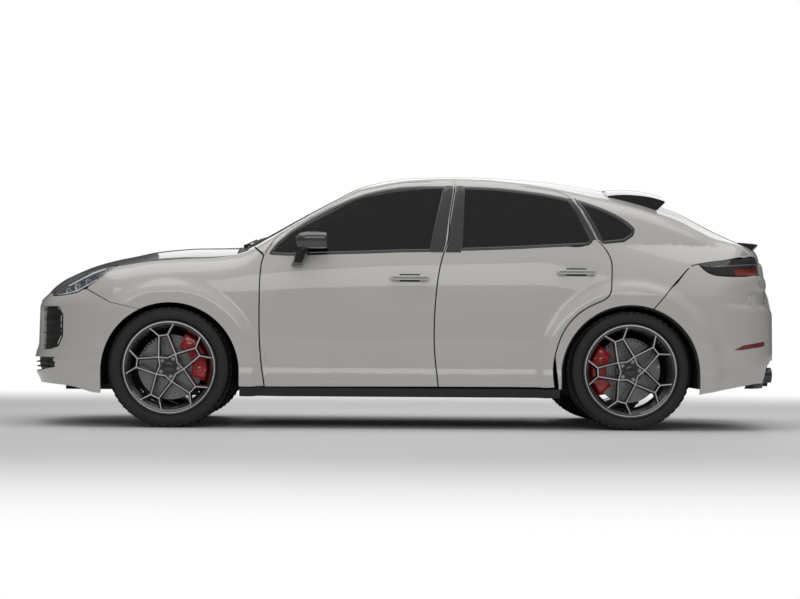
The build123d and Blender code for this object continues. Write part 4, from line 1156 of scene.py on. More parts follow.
def sheet(rows, front=0.0, back=-3.0, kind=0):
    """A closed sheet between two depths of the skin, over a grid of points on it."""
    rows = np.asarray(rows, float)
    n, m, _ = rows.shape
    near, far = (settle(rows.reshape(-1, 3), level).reshape(n, m, 3) for level in (front, back))
    shape = Shape().grid(near, kind).grid(far, kind)
    for a, b in ((near[0], far[0]), (near[-1], far[-1]), (near[:, 0], far[:, 0]),
                 (near[:, -1], far[:, -1])):
        shape.grid([a, b], kind)
    return shape


def bowl(rows, rim=-3.2, depth=-42.0):
    rows = np.asarray(rows, float)
    n, m, _ = rows.shape
    near, far = (settle(rows.reshape(-1, 3), level).reshape(n, m, 3) for level in (rim, depth))
    edge = [near[0], near[:, -1], near[-1][::-1], near[:, 0][::-1]]
    deep = [far[0], far[:, -1], far[-1][::-1], far[:, 0][::-1]]
    shape = Shape().grid(far)
    for a, b in zip(edge, deep):
        shape.grid([a, b])
    return shape


def side_grid(low, top, xs, across=9):
    """Skin points of a side-view area between two lines, at each x."""
    low, top = (np.asarray(sorted(line)) for line in (low, top))
    rows = []
    for x in xs:
        z0, z1 = np.interp(x, low[:, 0], low[:, 1]), np.interp(x, top[:, 0], top[:, 1])
        rows.append(on_side([(x, z) for z in np.linspace(z0, z1, across)]))
    return np.array(rows)


def fan_grid(centre, angles, lines, across=9):
    """Skin points round an upright axis; angles turn from the side to the car's end."""
    rows = []
    for a in np.radians(angles):
        way = np.array((math.sin(a), -math.cos(a), 0.0))
        z0, z1 = (sum(f(0.0) for f in lines) / 2,) * 2
        for _ in range(3):
            start = np.array([(*centre, z) for z in np.linspace(z0, z1, across)]) + way * 900
            met = cast(start, -way)
            z0, z1 = lines[0](met[0, 0]), lines[1](met[-1, 0])
        rows.append(met)
    return np.array(rows)


def within(x, z, depth):
    """A point a given depth under the left skin."""
    return settle(on_side([(x, z)]), -depth)[0]


LAMP_BOWL = painted("lamp_bowl", (0.035, 0.042, 0.055), 0.3)
GLOW_WHITE = Finish("daylight_guide", (0.9, 0.93, 1.0), 0.2, Emission_Strength=0.35)
GLOW_WHITE.set("Emission Color", (0.85, 0.92, 1.0, 1.0))
GLOW_WHITE.tint(GLOW_WHITE.noise(80.0), 0.95, 1.0)
GLOW_RED = Finish("tail_light_guide", (0.75, 0.012, 0.012), 0.25, Emission_Strength=0.30)
GLOW_RED.set("Emission Color", (1.0, 0.02, 0.015, 1.0))
GLOW_RED.tint(GLOW_RED.noise(80.0), 0.9, 1.0)
GLOW_WHITE, GLOW_RED = GLOW_WHITE.material, GLOW_RED.material
RED_REFLECTOR = painted("red_reflector", (0.20, 0.006, 0.008), 0.25)

# %% Headlamps
LAMP_TOP = [(-2258, 842), (-2232, 861), (-2175, 893), (-2111, 924), (-2047, 956),
            (-1983, 987), (-1919, 1012), (-1868, 1022), (-1844, 1025)]
LAMP_LOW = [(-1844, 1011), (-1868, 991), (-1919, 948), (-1983, 904), (-2028, 879), (-2079, 852),
            (-2143, 838), (-2207, 831), (-2258, 831)]
lamp = side_grid(LAMP_LOW, LAMP_TOP, np.linspace(-2256, -1846, 40))
for side, obj in zip(SIDES, on_each_side("headlamp_lens", sheet(lamp), "body", CLEAR_LENS)):
    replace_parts(obj, "headlamps")
on_each_side("headlamp_bowl", bowl(lamp), "body", LAMP_BOWL)
parts = Shape()
for x, z, size in ((-2150, 866, 21), (-2085, 893, 24), (-2015, 925, 20), (-1945, 968, 13)):
    at = within(x, z, 24)
    facing = np.array((-0.62, -0.76, 0.1)) / np.linalg.norm((-0.62, -0.76, 0.1))
    parts.spin([(size * 0.55, -6), (size * 0.8, 6), (size, 13), (size + 2.5, 13),
                (size + 2.5, 8), (size * 0.8, -10)], at, 40, axis=facing)
    parts.spin([(0, 9), (size * 0.3, 8), (size * 0.52, 3), (size * 0.55, -5), (0, -6)], at, 32,
               kind=1, axis=facing)
for low, top, reach in ((0.06, 0.16, (3, 30)), (0.84, 0.93, (10, 34))):
    rows = lamp[reach[0]:reach[1]]
    first, last = int(low * 8), int(math.ceil(top * 8))
    blade = rows[:, first] + (rows[:, last] - rows[:, first]) * 0.4
    parts.tube(settle(blade, -9.0), 3.4, 10, kind=2)
on_each_side("headlamp_units", parts, "body", [SATIN_METAL, CLEAR_LENS, GLOW_WHITE])
seal = settle(np.vstack([lamp[:, 0], lamp[::-1, -1], lamp[:1, 0]]), -1.0)
on_each_side("headlamp_seal", Shape().tube(seal, 2.2, 8), "body", SEAL)

# %% Bonnet edge over the headlamp
edge = [(x, z + 2.5) for x, z in LAMP_TOP] + [(-1836, 1029)]
rim = [(x, z + 10) for x, z in LAMP_TOP] + [(-1836, 1037)]
on_each_side("bonnet_lamp_edge", sheet(side_grid(edge, rim, np.linspace(-2240, -1838, 36), 4),
                                       -0.5, -4.0), "bonnet", BLACK_PAINT)

# %% Tail lamps
TAIL_TOP = [(1852, 1050), (1954, 1069), (2083, 1084), (2198, 1096), (2500, 1109)]
TAIL_LOW = [(1852, 1049), (1878, 1020), (1916, 994), (1954, 983), (2214, 983), (2500, 986)]
tail_low, tail_top = (np.array(line, float) for line in (TAIL_LOW, TAIL_TOP))
tail = fan_grid((1960.0, -560.0), np.linspace(-29.5, 76, 46), (
    lambda x: float(np.interp(x, tail_low[:, 0], tail_low[:, 1])),
    lambda x: float(np.interp(x, tail_top[:, 0], tail_top[:, 1]))))
for side, obj in zip(SIDES, on_each_side("tail_lamp_lens", sheet(tail), "body", SMOKED_LENS)):
    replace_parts(obj, "tail_lamps")
on_each_side("tail_lamp_bowl", bowl(tail, depth=-30.0), "body", LAMP_BOWL)
red = sheet(tail[22:44, :4], -7.0, -10.0)
guide = settle(tail[5:45, 5], -6.0)
red.tube(guide, 2.6, 8, kind=1)
on_each_side("tail_lamp_lights", red, "body", [GLOW_RED, GLOW_WHITE])
print("lamps dressed")

# %% Rear reflectors
low = [(2064, 509), (2115, 509), (2288, 533)]
top = [(2064, 510), (2128, 539), (2288, 563)]
on_each_side("rear_reflector", sheet(side_grid(low, top, np.linspace(2066, 2288, 16), 4), 1.5,
                                     -3.0), "body", RED_REFLECTOR)

# %% [markdown]
# The nose takes in air through a wide middle opening and one at each corner. Each opening
# has a dark lining, level blades that follow the skin a little way in, and a fog lamp.

# %% Corner intakes


def corner_path(z, start=-4.0, end=88.0, steps=24):
    """Skin points round the left front corner at one height."""
    a = np.radians(np.linspace(start, end, steps))
    way = np.c_[-np.sin(a), -np.cos(a), 0 * a]
    met = cast(np.array((-2185.0, -575.0, z)) + way * 900, -way)
    return met


def blade(path, thick, front=-8.0, back=-46.0):
    near, far = settle(path, front), settle(path, back)
    up = np.array((0, 0, thick / 2))
    rows = [near - up * 0.6, near + up * 0.6, far + up, far - up]
    ends = [[row[k] for row in rows] for k in (0, -1)]
    return Shape().grid(rows, wrap_rows=True).close(ends)


blades = Shape()
for z, thick in ((739, 8), (698, 5), (677, 5), (635, 5), (593, 7), (549, 5), (512, 8)):
    start = {739: 1, 512: 2}.get(z, -3)
    blades.join(blade(corner_path(z, start), thick))
on_each_side("corner_intake_blades", blades, "body", BLACK_PLASTIC)
SIDE_HOLE = [(-2345, 761), (-2207, 760), (-2175, 708), (-2175, 568), (-2207, 504),
             (-2271, 486), (-2345, 486)]
line = rounded(SIDE_HOLE, 10.0, closed=False)
on_each_side("corner_intake_frame", strip(line + (2.5, 0), line - (9, 0), 1.2, 14.0,
                                          closed=False, across=4),
             "body", BLACK_PAINT)
fog = Shape()
at = cast([(-2290, -1150, 545)], (0, 1, 0))[0] + (16, 66, 0)
fog.spin([(24, -4), (30, 2), (31, 12), (34, 12), (34, -14), (24, -14)], at, 40,
         axis=(-0.8, -0.6, 0))
fog.spin([(0, 8), (12, 7), (24, 3), (25, -4), (0, -5)], at, 40, kind=1, axis=(-0.8, -0.6, 0))
on_each_side("fog_lamp", fog, "body", [SATIN_METAL, CLEAR_LENS])

# %% Middle and lower grille


def front_path(z, y0, y1, steps=30):
    start = np.c_[np.full(steps, -2900.0), np.linspace(y0, y1, steps), np.full(steps, z)]
    return cast(start, (1, 0, 0))


bars = Shape()
for z in np.linspace(520, 762, 8):
    bars.join(blade(front_path(z, -478, 478), 9, -12, -50))
for y in np.linspace(-420, 420, 13):
    path = np.array([front_path(z, y, y, 1)[0] for z in np.linspace(500, 785, 14)])
    bars.tube(settle(path, -30.0), 4.0, 8)
for z in (372, 402):
    bars.join(blade(front_path(z, -700, 700), 7, -8, -50))
build("front_grille_bars", bars, "body", BLACK_PLASTIC)
print("nose dressed")

# %% [markdown]
# Door handles are bars that a hand goes round. The CAD gives the bar and its feet, and an
# eased cover of the same length closes over the bar. A mirror is a shell with a silvered
# face set into its rear, on a short arm.

# %% Handles


def eased(x, centre_y, z, half_y, half_z, steps=24, power=3.0):
    """A closed section across the car, between a circle and a rectangle."""
    a = np.linspace(0, 2 * math.pi, steps, endpoint=False)
    c, s = np.cos(a), np.sin(a)
    return np.c_[np.full(steps, x), centre_y + half_y * np.sign(c) * abs(c)**(2 / power),
                 z + half_z * np.sign(s) * abs(s)**(2 / power)]


for name, x0, x1, z in (("front", -98, 140, 950), ("rear", 949, 1187, 993)):
    skin = on_side([((x0 + x1) / 2, z)])[0][1]
    y = skin - 33.0
    rows = []
    for t in np.linspace(0, 1, 25):
        x = x0 - 5 + (x1 - x0 + 10) * t
        taper = min(1.0, 0.35 + 0.65 * math.sqrt(max(min(t, 1 - t), 0.0) / 0.07)) if min(
            t, 1 - t) < 0.07 else 1.0
        rows.append(eased(x, y, z, 10.2 * taper, 14.5 * taper, power=4.0))
    grip = Shape().grid(rows, wrap=True).close(rows)
    inlay = [(x, y - 10.6, z + dz) for x, dz in ((x0 + 14, -5), (x1 - 14, -5), (x1 - 10, 0),
                                                 (x1 - 14, 5), (x0 + 14, 5), (x0 + 10, 0))]
    grip.slab(inlay, (0, 1, 0), 2.0, kind=1)
    on_each_side(name + "_door_pull", grip, name + "_door_{}", [BODY_PAINT, SATIN_METAL],
                 angle=50)
    # Behind each grip a thin black sheet lies flat on the skin: painted shade of the hand recess,
    # which is not modelled as a hollow.
    recess_shade = on_side([(x, z + dz) for x in np.linspace(x0 + 56, x1 - 56, 12)
                   for dz in np.linspace(-24, 24, 7)], 0.0).reshape(12, 7, 3)
    on_each_side(name + "_door_cup", sheet(recess_shade, 0.7, -2.0), name + "_door_{}", BLACK_PLASTIC)

# %% Mirrors
MIRROR_CAP = painted("mirror_cap_grey", (0.045, 0.045, 0.047), 0.28)
cap = Shape()
rows = [eased(x, -1010, 1180 + rise, 84 * k, 53 * k, 40, 2.8) for x, k, rise in (
    (-695, 0.20, -6), (-693, 0.42, -5), (-686, 0.62, -4), (-672, 0.80, -2), (-650, 0.92, -1),
    (-620, 0.985, 0), (-580, 1.0, 0), (-540, 0.99, 0), (-512, 0.955, 0), (-504, 0.93, 0),
    (-502, 0.90, 0), (-505, 0.86, 0), (-509, 0.85, 0))]
cap.grid(rows, wrap=True)
cap.add(rows[0], [tuple(range(40))])
face = Shape().add(eased(-508.5, -1010, 1180, 72.5, 46, 40, 2.8), [tuple(range(40))])
face.add(eased(-516, -1010, 1180, 72.5, 46, 40, 2.8), [tuple(range(40))])
arm = Shape()
rows = []
for y, k in ((-985, 0.75), (-960, 0.9), (-930, 1.0), (-900, 1.05), (-878, 1.08)):
    at = np.array([(-724, 1026), (-702, 1094), (-664, 1132), (-612, 1140), (-630, 1080),
                   (-652, 1026)], float)
    middle = at.mean(0)
    rows.append([(x, y, z) for x, z in middle + (at - middle) * k])
arm.grid(rows, wrap=True).close(rows)
for side, obj in zip(SIDES, on_each_side("mirror_shell", cap, "front_door_{}", MIRROR_CAP,
                                         angle=50)):
    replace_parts(obj, f"door_mirror_{side}")
on_each_side("mirror_face", face, "front_door_{}", MIRROR_FACE)
on_each_side("mirror_arm", arm, "front_door_{}", BLACK_PAINT, 4.0, 3)
print("handles and mirrors dressed")

# %% [markdown]
# Small things finish the outside: wipers parked on the screen, tail pipe ends and upright
# fins under the tail.

# %% Small outside parts


def on_top(xy, lift=0.0):
    xy = np.asarray(xy, float).reshape(-1, 2)
    return cast(np.c_[xy, np.full(len(xy), 1900.0)], (0, 0, -1), lift, 1300.0)


wipers = Shape()
for pivot, start, end in (((-1030, -470), (-985, -520), (-905, 30)),
                          ((-1035, 60), (-990, 10), (-915, 560))):
    t = np.linspace(0, 1, 14)[:, None]
    path = np.array(start) + (np.array(end) - np.array(start)) * t
    path[:, 0] -= 18 * np.sin(math.pi * t[:, 0])
    wipers.tube(on_top(path, 7.0), [3 + 4 * math.sin(math.pi * s) for s in t[:, 0]], 8)
    wipers.tube(on_top(path, 2.5), 1.6, 6)
    reach = np.array(pivot) + (path[7] - np.array(pivot)) * t[::2]
    wipers.tube(on_top(reach, 17.0), 5.0, 8)
    wipers.tube([on_top([pivot], -6)[0], on_top([pivot], 22)[0]], 13.0, 16)
build("wipers", wipers, "body", BLACK_PLASTIC)
tips = Shape()
for y in (-445, -555):
    tips.spin([(43, -90), (43, -2), (45, 0), (48.5, -0.5), (49, -3), (49, -92)],
              (2370, y, 345), 48, axis=(1, 0, 0))
on_each_side("tail_pipe_end", tips, "body", DARK_METAL, angle=40)
fins = Shape()
for y in (-330, -200, -70):
    fins.slab([(2180, y, 268), (2395, y, 268), (2400, y, 300), (2380, y, 345), (2180, y, 345)],
              (0, 1, 0), 9)
build("diffuser_fins", fins.both(), "body", BLACK_PLASTIC, 1.5)
print("small parts dressed")

# %% [markdown]
# A stuffed cover is tight over foam: it swells between its seams and is held where it is
# sewn. Each seat piece is a closed form along a path. It is remeshed evenly, its seam points
# are pulled in, and a short cloth simulation with pressure swells the rest.

# %% Stuffed forms
YAW = np.array((0.0, 1.0, 0.0))


def stuffed(path, wide, thick, centre_y, bolster=0.0, steps=56, power=4.5):
    """A closed form along a path of (x, z), as wide and as thick as the lists say."""
    path = np.asarray(path, float)
    shares = [(0.0, 0.30), (0.01, 0.62), (0.03, 0.85)]
    stations = [s for s, _ in shares] + list(np.linspace(0.07, 0.93, 17)) + [
        1 - s for s, _ in shares[::-1]]
    taper = [k for _, k in shares] + [1.0] * 17 + [k for _, k in shares[::-1]]
    run = np.r_[0, np.cumsum(np.linalg.norm(np.diff(path, axis=0), axis=1))]
    run /= run[-1]
    rows, a = [], np.linspace(0, 2 * math.pi, steps, endpoint=False)
    c, s = np.cos(a), np.sin(a)
    c, s = (np.sign(v) * abs(v)**(2 / power) for v in (c, s))
    for t, k in zip(stations, taper):
        at = np.array([np.interp(t, run, path[:, i]) for i in (0, 1)])
        ahead = np.array([np.interp(min(t + 0.02, 1), run, path[:, i]) for i in (0, 1)])
        behind = np.array([np.interp(max(t - 0.02, 0), run, path[:, i]) for i in (0, 1)])
        d = (ahead - behind) / np.linalg.norm(ahead - behind)
        n = np.array((-d[1], d[0]))
        half_y = np.interp(t, np.linspace(0, 1, len(wide)), wide) * (0.9 + 0.1 * k)
        half_n = np.interp(t, np.linspace(0, 1, len(thick)), thick) * k
        rise = bolster * k * smooth_step((abs(c) - 0.60) / 0.18) * (s > 0.3) * (
            1 - 0.45 * smooth_step((abs(c) - 0.88) / 0.12))
        off = s * half_n + rise
        rows.append(np.c_[at[0] + n[0] * off, centre_y + c * half_y, at[1] + n[1] * off])
    return Shape().grid(rows, wrap=True).close(rows)


def evaluated(obj):
    graph = bpy.context.evaluated_depsgraph_get()
    return bpy.data.meshes.new_from_object(obj.evaluated_get(graph))


def swell(name, shape, seams, body, finish, node, pull=7.0, cap=24.0, pressure=4.0):
    """The form as a stuffed cover; seams gives each point's distance from a seam in mm."""
    obj = bpy.data.objects.new(name + "_form", shape.mesh(name + "_form", 10, 3))
    bpy.context.scene.collection.objects.link(obj)
    even = obj.modifiers.new("even", "REMESH")
    even.mode = "VOXEL"
    even.voxel_size = 0.007
    mesh = evaluated(obj)
    obj.modifiers.clear()
    obj.data = mesh
    before = coordinates(mesh)
    near = seams(before)
    normal = np.empty(len(mesh.vertices) * 3)
    mesh.vertex_normals.foreach_get("vector", normal)
    before -= normal.reshape(-1, 3) * (pull * np.exp(-(near / 5.0)**2))[:, None]
    mesh.vertices.foreach_set("co", (before * MM).ravel())
    after = before
    held = obj.vertex_groups.new(name="seams")
    held.add([int(i) for i in np.nonzero(near < 7.0)[0]], 1.0, "REPLACE")
    cover = obj.modifiers.new("cover", "CLOTH")
    cover.settings.vertex_group_mass = "seams"
    cover.settings.use_pressure = True
    cover.settings.uniform_pressure_force = pressure
    cover.settings.effector_weights.gravity = 0.0
    cover.collision_settings.use_self_collision = False
    cover.point_cache.frame_end = 20
    for frame in range(1, 13):
        bpy.context.scene.frame_set(frame)
    after = coordinates(evaluated(obj))
    move = after - before
    reach = np.linalg.norm(move, axis=1)[:, None]
    after = before + move * np.minimum(1.0, cap / np.maximum(reach, 1e-6))
    bpy.context.scene.frame_set(1)
    faces = [tuple(p.vertices) for p in mesh.polygons]
    bpy.data.objects.remove(obj)
    made = []
    for side, sign in (("left", 1), ("right", -1)):
        data = bpy.data.meshes.new(f"{name}_{side}")
        points = after * (MM, MM * sign, MM)
        data.from_pydata(points.tolist(), [], faces if sign > 0 else [f[::-1] for f in faces])
        piece = link(f"{name}_{side}", data, body, finish, None)
        data.shade_smooth()
        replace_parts(piece, node)
        made.append(piece)
    return made


def lines(centre_y, across=(), along=(), edge=None):
    """Distance from seams that run fore and aft at given offsets, or across at a share."""
    def distance(p):
        d = np.full(len(p), 1e3)
        for y in across:
            for sign in (-1, 1):
                d = np.minimum(d, abs(abs(p[:, 1] - centre_y) - y))
        for point, way in along:
            off = (p[:, 0] - point[0]) * way[0] + (p[:, 2] - point[1]) * way[1]
            inner = abs(p[:, 1] - centre_y) < (edge or 1e3)
            d = np.minimum(d, np.where(inner, abs(off), 1e3))
        return d
    return distance


# %% Front seats
SEAT_Y = -380.0
swell("front_cushion",
      stuffed([(-232, 540), (-60, 545), (110, 515), (262, 478)], (200, 250, 250, 235),
              (78, 76, 66, 58), SEAT_Y, 26.0),
      lines(SEAT_Y, (150,), [((x, 0), (1, 0)) for x in (-150, -85, -20, 45, 110)], 150),
      "body", LEATHER, "front_seats")
swell("front_back",
      stuffed([(228, 560), (262, 700), (312, 880), (368, 1060), (402, 1168)][::-1],
              (150, 205, 236, 238, 215), (40, 50, 56, 60, 58), SEAT_Y, 26.0),
      lines(SEAT_Y, (142,), [((0, z), (-0.3, 0.95)) for z in (560, 640, 720, 800, 880, 960)],
            142),
      "body", LEATHER, "front_seats")
swell("front_head_rest",
      stuffed([(402, 1198), (400, 1270), (388, 1350)], (105, 136, 120), (34, 42, 32), SEAT_Y),
      lines(SEAT_Y, (104,)), "body", LEATHER, "front_seats", 3.0, 10.0)
frame = Shape()
for y in (-220, 220):
    frame.box((20, SEAT_Y + y, 278), (520, 34, 26))
    frame.slab([(-190, SEAT_Y + y - 14, 290), (240, SEAT_Y + y - 14, 290),
                (262, SEAT_Y + y - 14, 430), (-205, SEAT_Y + y - 14, 470)], (0, 1, 0), 28)
for y in (-55, 55):
    frame.tube([(398, SEAT_Y + y, 1120), (404, SEAT_Y + y, 1240)], 7.0, 16, kind=1)
frame.slab([(-215, SEAT_Y - 236, 330), (262, SEAT_Y - 236, 330), (285, SEAT_Y - 236, 470),
            (-225, SEAT_Y - 236, 478)], (0, 1, 0), -14)
for obj in on_each_side("front_seat_frame", frame, "body", [BLACK_PLASTIC, SATIN_METAL],
                        3.0):
    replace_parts(obj, "front_seats")

# %% Rear bench
BENCH_Y = -318.0
swell("rear_cushion",
      stuffed([(642, 545), (780, 560), (930, 545), (1074, 520)], (296, 300, 300, 292),
              (80, 78, 66, 56), BENCH_Y, 14.0),
      lines(BENCH_Y, (178,), [((x, 0), (1, 0)) for x in (720, 790, 860, 930, 1000)], 178),
      "body", LEATHER, "rear_bench")
swell("rear_back",
      stuffed([(1070, 600), (1120, 760), (1176, 940), (1232, 1120), (1252, 1182)][::-1],
              (270, 292, 298, 300, 296), (38, 44, 48, 50, 46), BENCH_Y, 12.0),
      lines(BENCH_Y, (172,), [((0, z), (-0.3, 0.95)) for z in (330, 410, 490, 570, 650, 730)],
            172),
      "body", LEATHER, "rear_bench")
swell("rear_head_rest", stuffed([(1250, 1175), (1256, 1240), (1250, 1300)], (112, 128, 110),
                                (30, 34, 26), -390.0),
      lines(-390.0, (98,)), "body", LEATHER, "rear_bench", 3.0, 8.0)
under = Shape().slab([(660, -600, 255), (1080, -600, 255), (1080, -600, 470),
                      (650, -600, 470)], (0, 1, 0), 1200)
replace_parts(build("rear_bench_base", under, "body", CARPET, 12.0, 3), "rear_bench")
print("seats dressed, pieces so far:", len(PIECES))

# %% [markdown]
# The driver's controls and the details of the dashboard stand on the CAD's dashboard, which
# keeps its mesh and gets a finish.

# %% Steering wheel
TILT = math.radians(24)
COLUMN = np.array((math.cos(TILT), 0, math.sin(TILT)))
UP = np.array((-math.sin(TILT), 0, math.cos(TILT)))
HUB = np.array((-430.0, -380.0, 955.0))
a = np.linspace(0, 2 * math.pi, 16, endpoint=False)
wheel = Shape().spin(list(zip(182 + 15.2 * np.cos(a), 17 * np.sin(a))), HUB, 72, axis=COLUMN)
wheel.spin([(0, 17), (38, 15), (58, 6), (63, -8), (60, -26), (0, -28)], HUB, 48, kind=1,
           axis=COLUMN)
wheel.tube([HUB - COLUMN * 150, HUB - COLUMN * 20], 13, 20, kind=1)
for angle in (0, 180, 270):
    t = math.radians(angle)
    way = YAW * math.cos(t) + UP * math.sin(t)
    cross = np.cross(COLUMN, way)
    rows = []
    for r, w, thick in ((50, 30, 9), (90, 22, 7), (140, 17, 6), (176, 19, 8)):
        at = HUB + way * r - COLUMN * 5
        rows.append([at + cross * w + COLUMN * thick, at - cross * w + COLUMN * thick,
                     at - cross * w - COLUMN * thick, at + cross * w - COLUMN * thick])
    wheel.grid(rows, kind=2, wrap=True)
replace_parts(build("steering_wheel_rim", wheel, "steering_wheel",
                  [LEATHER, BLACK_PLASTIC, SATIN_METAL], 1.5, 2, 40),
            "steering_wheel")

# %% Dashboard details
SCREEN = Finish("display_face", (0.006, 0.008, 0.011), 0.08)
SCREEN.set("Emission Color", (0.10, 0.22, 0.38, 1.0))
z = SCREEN.axes()[2]
SCREEN.set("Emission Strength", ((z * 95.0).math("SINE").above(0.93) * 0.35).clamped())
SCREEN = SCREEN.material
dash = Shape()
dash.slab([(-640, -530, 1050), (-585, -530, 1045), (-570, -530, 1075), (-660, -530, 1120),
           (-720, -530, 1105)], (0, 1, 0), 300)
dash.slab([(-583, -505, 1000), (-573, -505, 1002), (-583, -505, 1062), (-593, -505, 1060)],
          (0, 1, 0), 250, kind=1)
dash.slab([(-578, -150, 935), (-566, -150, 937), (-584, -150, 1050), (-596, -150, 1048)],
          (0, 1, 0), 300, kind=1)
for y in (-700, -195, 195, 700):
    low, high = (880, 1010) if abs(y) < 400 else (940, 1010)
    dash.slab([(-580, y - 30, low), (-568, y - 30, low), (-578, y - 30, high),
               (-590, y - 30, high)], (0, 1, 0), 60, kind=2)
    for z in np.linspace(low + 14, high - 14, 6):
        dash.box((-570, y, z), (14, 54, 3), kind=2)
dash.slab([(-592, -130, 880), (-300, -130, 640), (310, -130, 612), (310, -130, 622),
           (-296, -130, 655), (-585, -130, 892)], (0, 1, 0), 260, kind=2)
dash.tube([(-150, 0, 625), (-155, 0, 700), (-170, 0, 745)], [14, 12, 20], 20, kind=3)
dash.tube([(-170, 0, 742), (-176, 0, 768)], [20, 15], 20, kind=0)
for x in (-20, 70):
    dash.spin([(36, 0), (40, 4), (42, 4), (42, -30), (36, -30)], (x, 0, 624), 32, kind=3,
              axis=(0, 0, 1))
dash.slab([(130, -105, 615), (300, -105, 612), (300, -105, 665), (150, -105, 672)], (0, 1, 0),
          210, kind=0)
build("dashboard_details", dash, "body", [LEATHER, SCREEN, BLACK_PLASTIC, SATIN_METAL],
      2.5)
stalks = Shape()
for side, z in ((-1, 0), (1, 0)):
    root = HUB - COLUMN * 55
    stalks.tube([root, root + YAW * side * 60, root + YAW * side * 150 + UP * 18],
                [9, 7, 6], 12)
stalks.tube([HUB - COLUMN * 190, HUB - COLUMN * 52], [52, 44], 32)
build("steering_column_cover", stalks, "body", BLACK_PLASTIC, 2.0)
print("controls dressed")

# %% [markdown]
# Inside, each door has a trim card with an armrest, a pull and a speaker. The card follows
# the skin at the depth where the CAD door ends, so it sits flat on the door's inner face.

# %% Door cards
CARD_DEPTH = -120.5
for door, x0, x1, low_z in (("front_door", -800, 140, 420), ("rear_door", 260, 900, 640)):
    grid = on_side([(x, z) for x in np.linspace(x0, x1, 34)
                    for z in np.linspace(low_z, 1020, 22)]).reshape(34, 22, 3)
    card = sheet(grid, CARD_DEPTH, CARD_DEPTH - 6.0)
    on_each_side(door + "_card", card, door + "_{}", BLACK_PLASTIC)
    insert = sheet(grid[4:30, 11:18], CARD_DEPTH - 5.5, CARD_DEPTH - 14.0)
    rest = settle(on_side([(x, 745) for x in np.linspace(x0 + 120, x1 - 60, 22)]), CARD_DEPTH)
    arm = Shape()
    rows = []
    for i, p in enumerate(rest):
        k = smooth_step(min(i, 21 - i) / 3.0)
        reach = 20 + 45 * k
        rows.append([p + (0, -2, -34), p + (0, reach, -24), p + (0, reach + 7, 0),
                     p + (0, reach, 20), p + (0, -2, 24)])
    arm.grid(rows, wrap=True).close(rows)
    on_each_side(door + "_armrest", arm, door + "_{}", LEATHER, 5.0, 3)
    on_each_side(door + "_insert", insert, door + "_{}", LEATHER, 2.0)
    at = settle(on_side([(x0 + 170, low_z + 130)]), CARD_DEPTH - 6.0)[0]
    ring = Shape().spin([(0, 3), (60, 6), (76, 8), (82, 4), (82, -6), (0, -6)], at, 48)
    ring.spin([(78, 5), (80, 9), (84, 5), (84, -4), (78, -4)], at, 48, kind=1)
    on_each_side(door + "_speaker", ring, door + "_{}", [BLACK_PLASTIC, SATIN_METAL])
    at = settle(on_side([(x0 + 150, 900)]), CARD_DEPTH - 8.0)[0]
    lever = Shape().tube([at + (-10, -4, 0), at + (0, 14, 0), at + (60, 18, -2),
                          at + (105, 6, -4)], [8, 9, 8, 5], 12)
    on_each_side(door + "_lever", lever, door + "_{}", SATIN_METAL)
print("door cards dressed")

# %% Roof lining, carpet and inner mirror
under_roof = []
for x in np.linspace(-265, 1240, 36):
    half = 0.94 * float(np.interp(x, (-300, 0, 400, 800, 1200), (632, 612, 600, 590, 576)))
    y = np.linspace(-half, half, 25)
    under_roof.append(on_top(np.c_[np.full(25, x), y]))
build("roof_lining", sheet(under_roof, -33.0, -38.0), "body", HEADLINING)
carpet = Shape()
ys = (-752, -700, -400, -135)
rows = [[(x, y, 256 + rise + (3 if -620 < x < 900 else 0)) for y in ys] for x, rise in (
    (-1000, 150), (-940, 90), (-840, 20), (-600, 0), (0, 0), (640, 0))]
thick = [[(x, y, z + 9) for x, y, z in row] for row in rows]
carpet.grid(rows).grid(thick)
for a, b in ((rows[0], thick[0]), (rows[-1], thick[-1]), ([r[0] for r in rows],
                                                          [r[0] for r in thick]),
             ([r[-1] for r in rows], [r[-1] for r in thick])):
    carpet.grid([a, b])
on_each_side("footwell_carpet", carpet, "body", CARPET)
load = Shape().box((1640, 0, 590), (900, 1180, 10))
build("load_floor_carpet", load, "body", CARPET, 3.0)
glass_back = Shape()
rows = [eased(-655 + dx, 0, 1282, 118 * k, 32 * k, 40, 2.6) for dx, k in (
    (-26, 0.5), (-22, 0.8), (-12, 0.97), (0, 1.0), (8, 0.98), (9, 0.93))]
glass_back.grid(rows, wrap=True)
glass_back.add(rows[0], [tuple(range(40))])
glass_back.add(rows[-1], [tuple(range(40))], 1)
glass_back.tube([(-680, 0, 1300), (-700, 0, 1328), (-708, 0, 1336)], 9, 12)
build("inner_mirror", glass_back, "body", [BLACK_PLASTIC, MIRROR_FACE])
print("cabin dressed")

# %% [markdown]
# The nodes that stay as the CAD made them, such as the floor and the axles, still need a
# finish. Each one's material slots are filled, and its mesh is left alone.

# %% Finishes for the nodes that stay
STAYING = {
    "body_structure": UNDERBODY, "wheel_liners": UNDERBODY, "engine_block": CHASSIS,
    "front_axle": CHASSIS, "rear_axle": CHASSIS, "rear_calipers": CALIPER_RED,
    "front_grille": BLACK_PLASTIC, "diffuser": BLACK_PLASTIC, "dashboard": BLACK_PLASTIC,
    "roof_spoiler": BLACK_PAINT, "tail_lip": BLACK_PAINT, "exhaust": DARK_METAL,
    "headlamps": CLEAR_LENS, "tail_lamps": RED_LENS,
}
for side in SIDES:
    STAYING[f"front_knuckle_{side}"] = CHASSIS
    STAYING[f"front_caliper_{side}"] = CALIPER_RED
    STAYING[f"door_mirror_{side}"] = BLACK_PAINT
    for end in ("front", "rear"):
        STAYING[f"{end}_disc_{side}"] = DISC[end]
        STAYING[f"{end}_rim_{side}"] = WHEEL_BLACK
        STAYING[f"{end}_tyre_{side}"] = RUBBER
for name, finish in STAYING.items():
    if name not in NODES:
        continue
    node = NODES[name]
    if not node.hide_render:
        for slot in node.material_slots:
            slot.material = finish
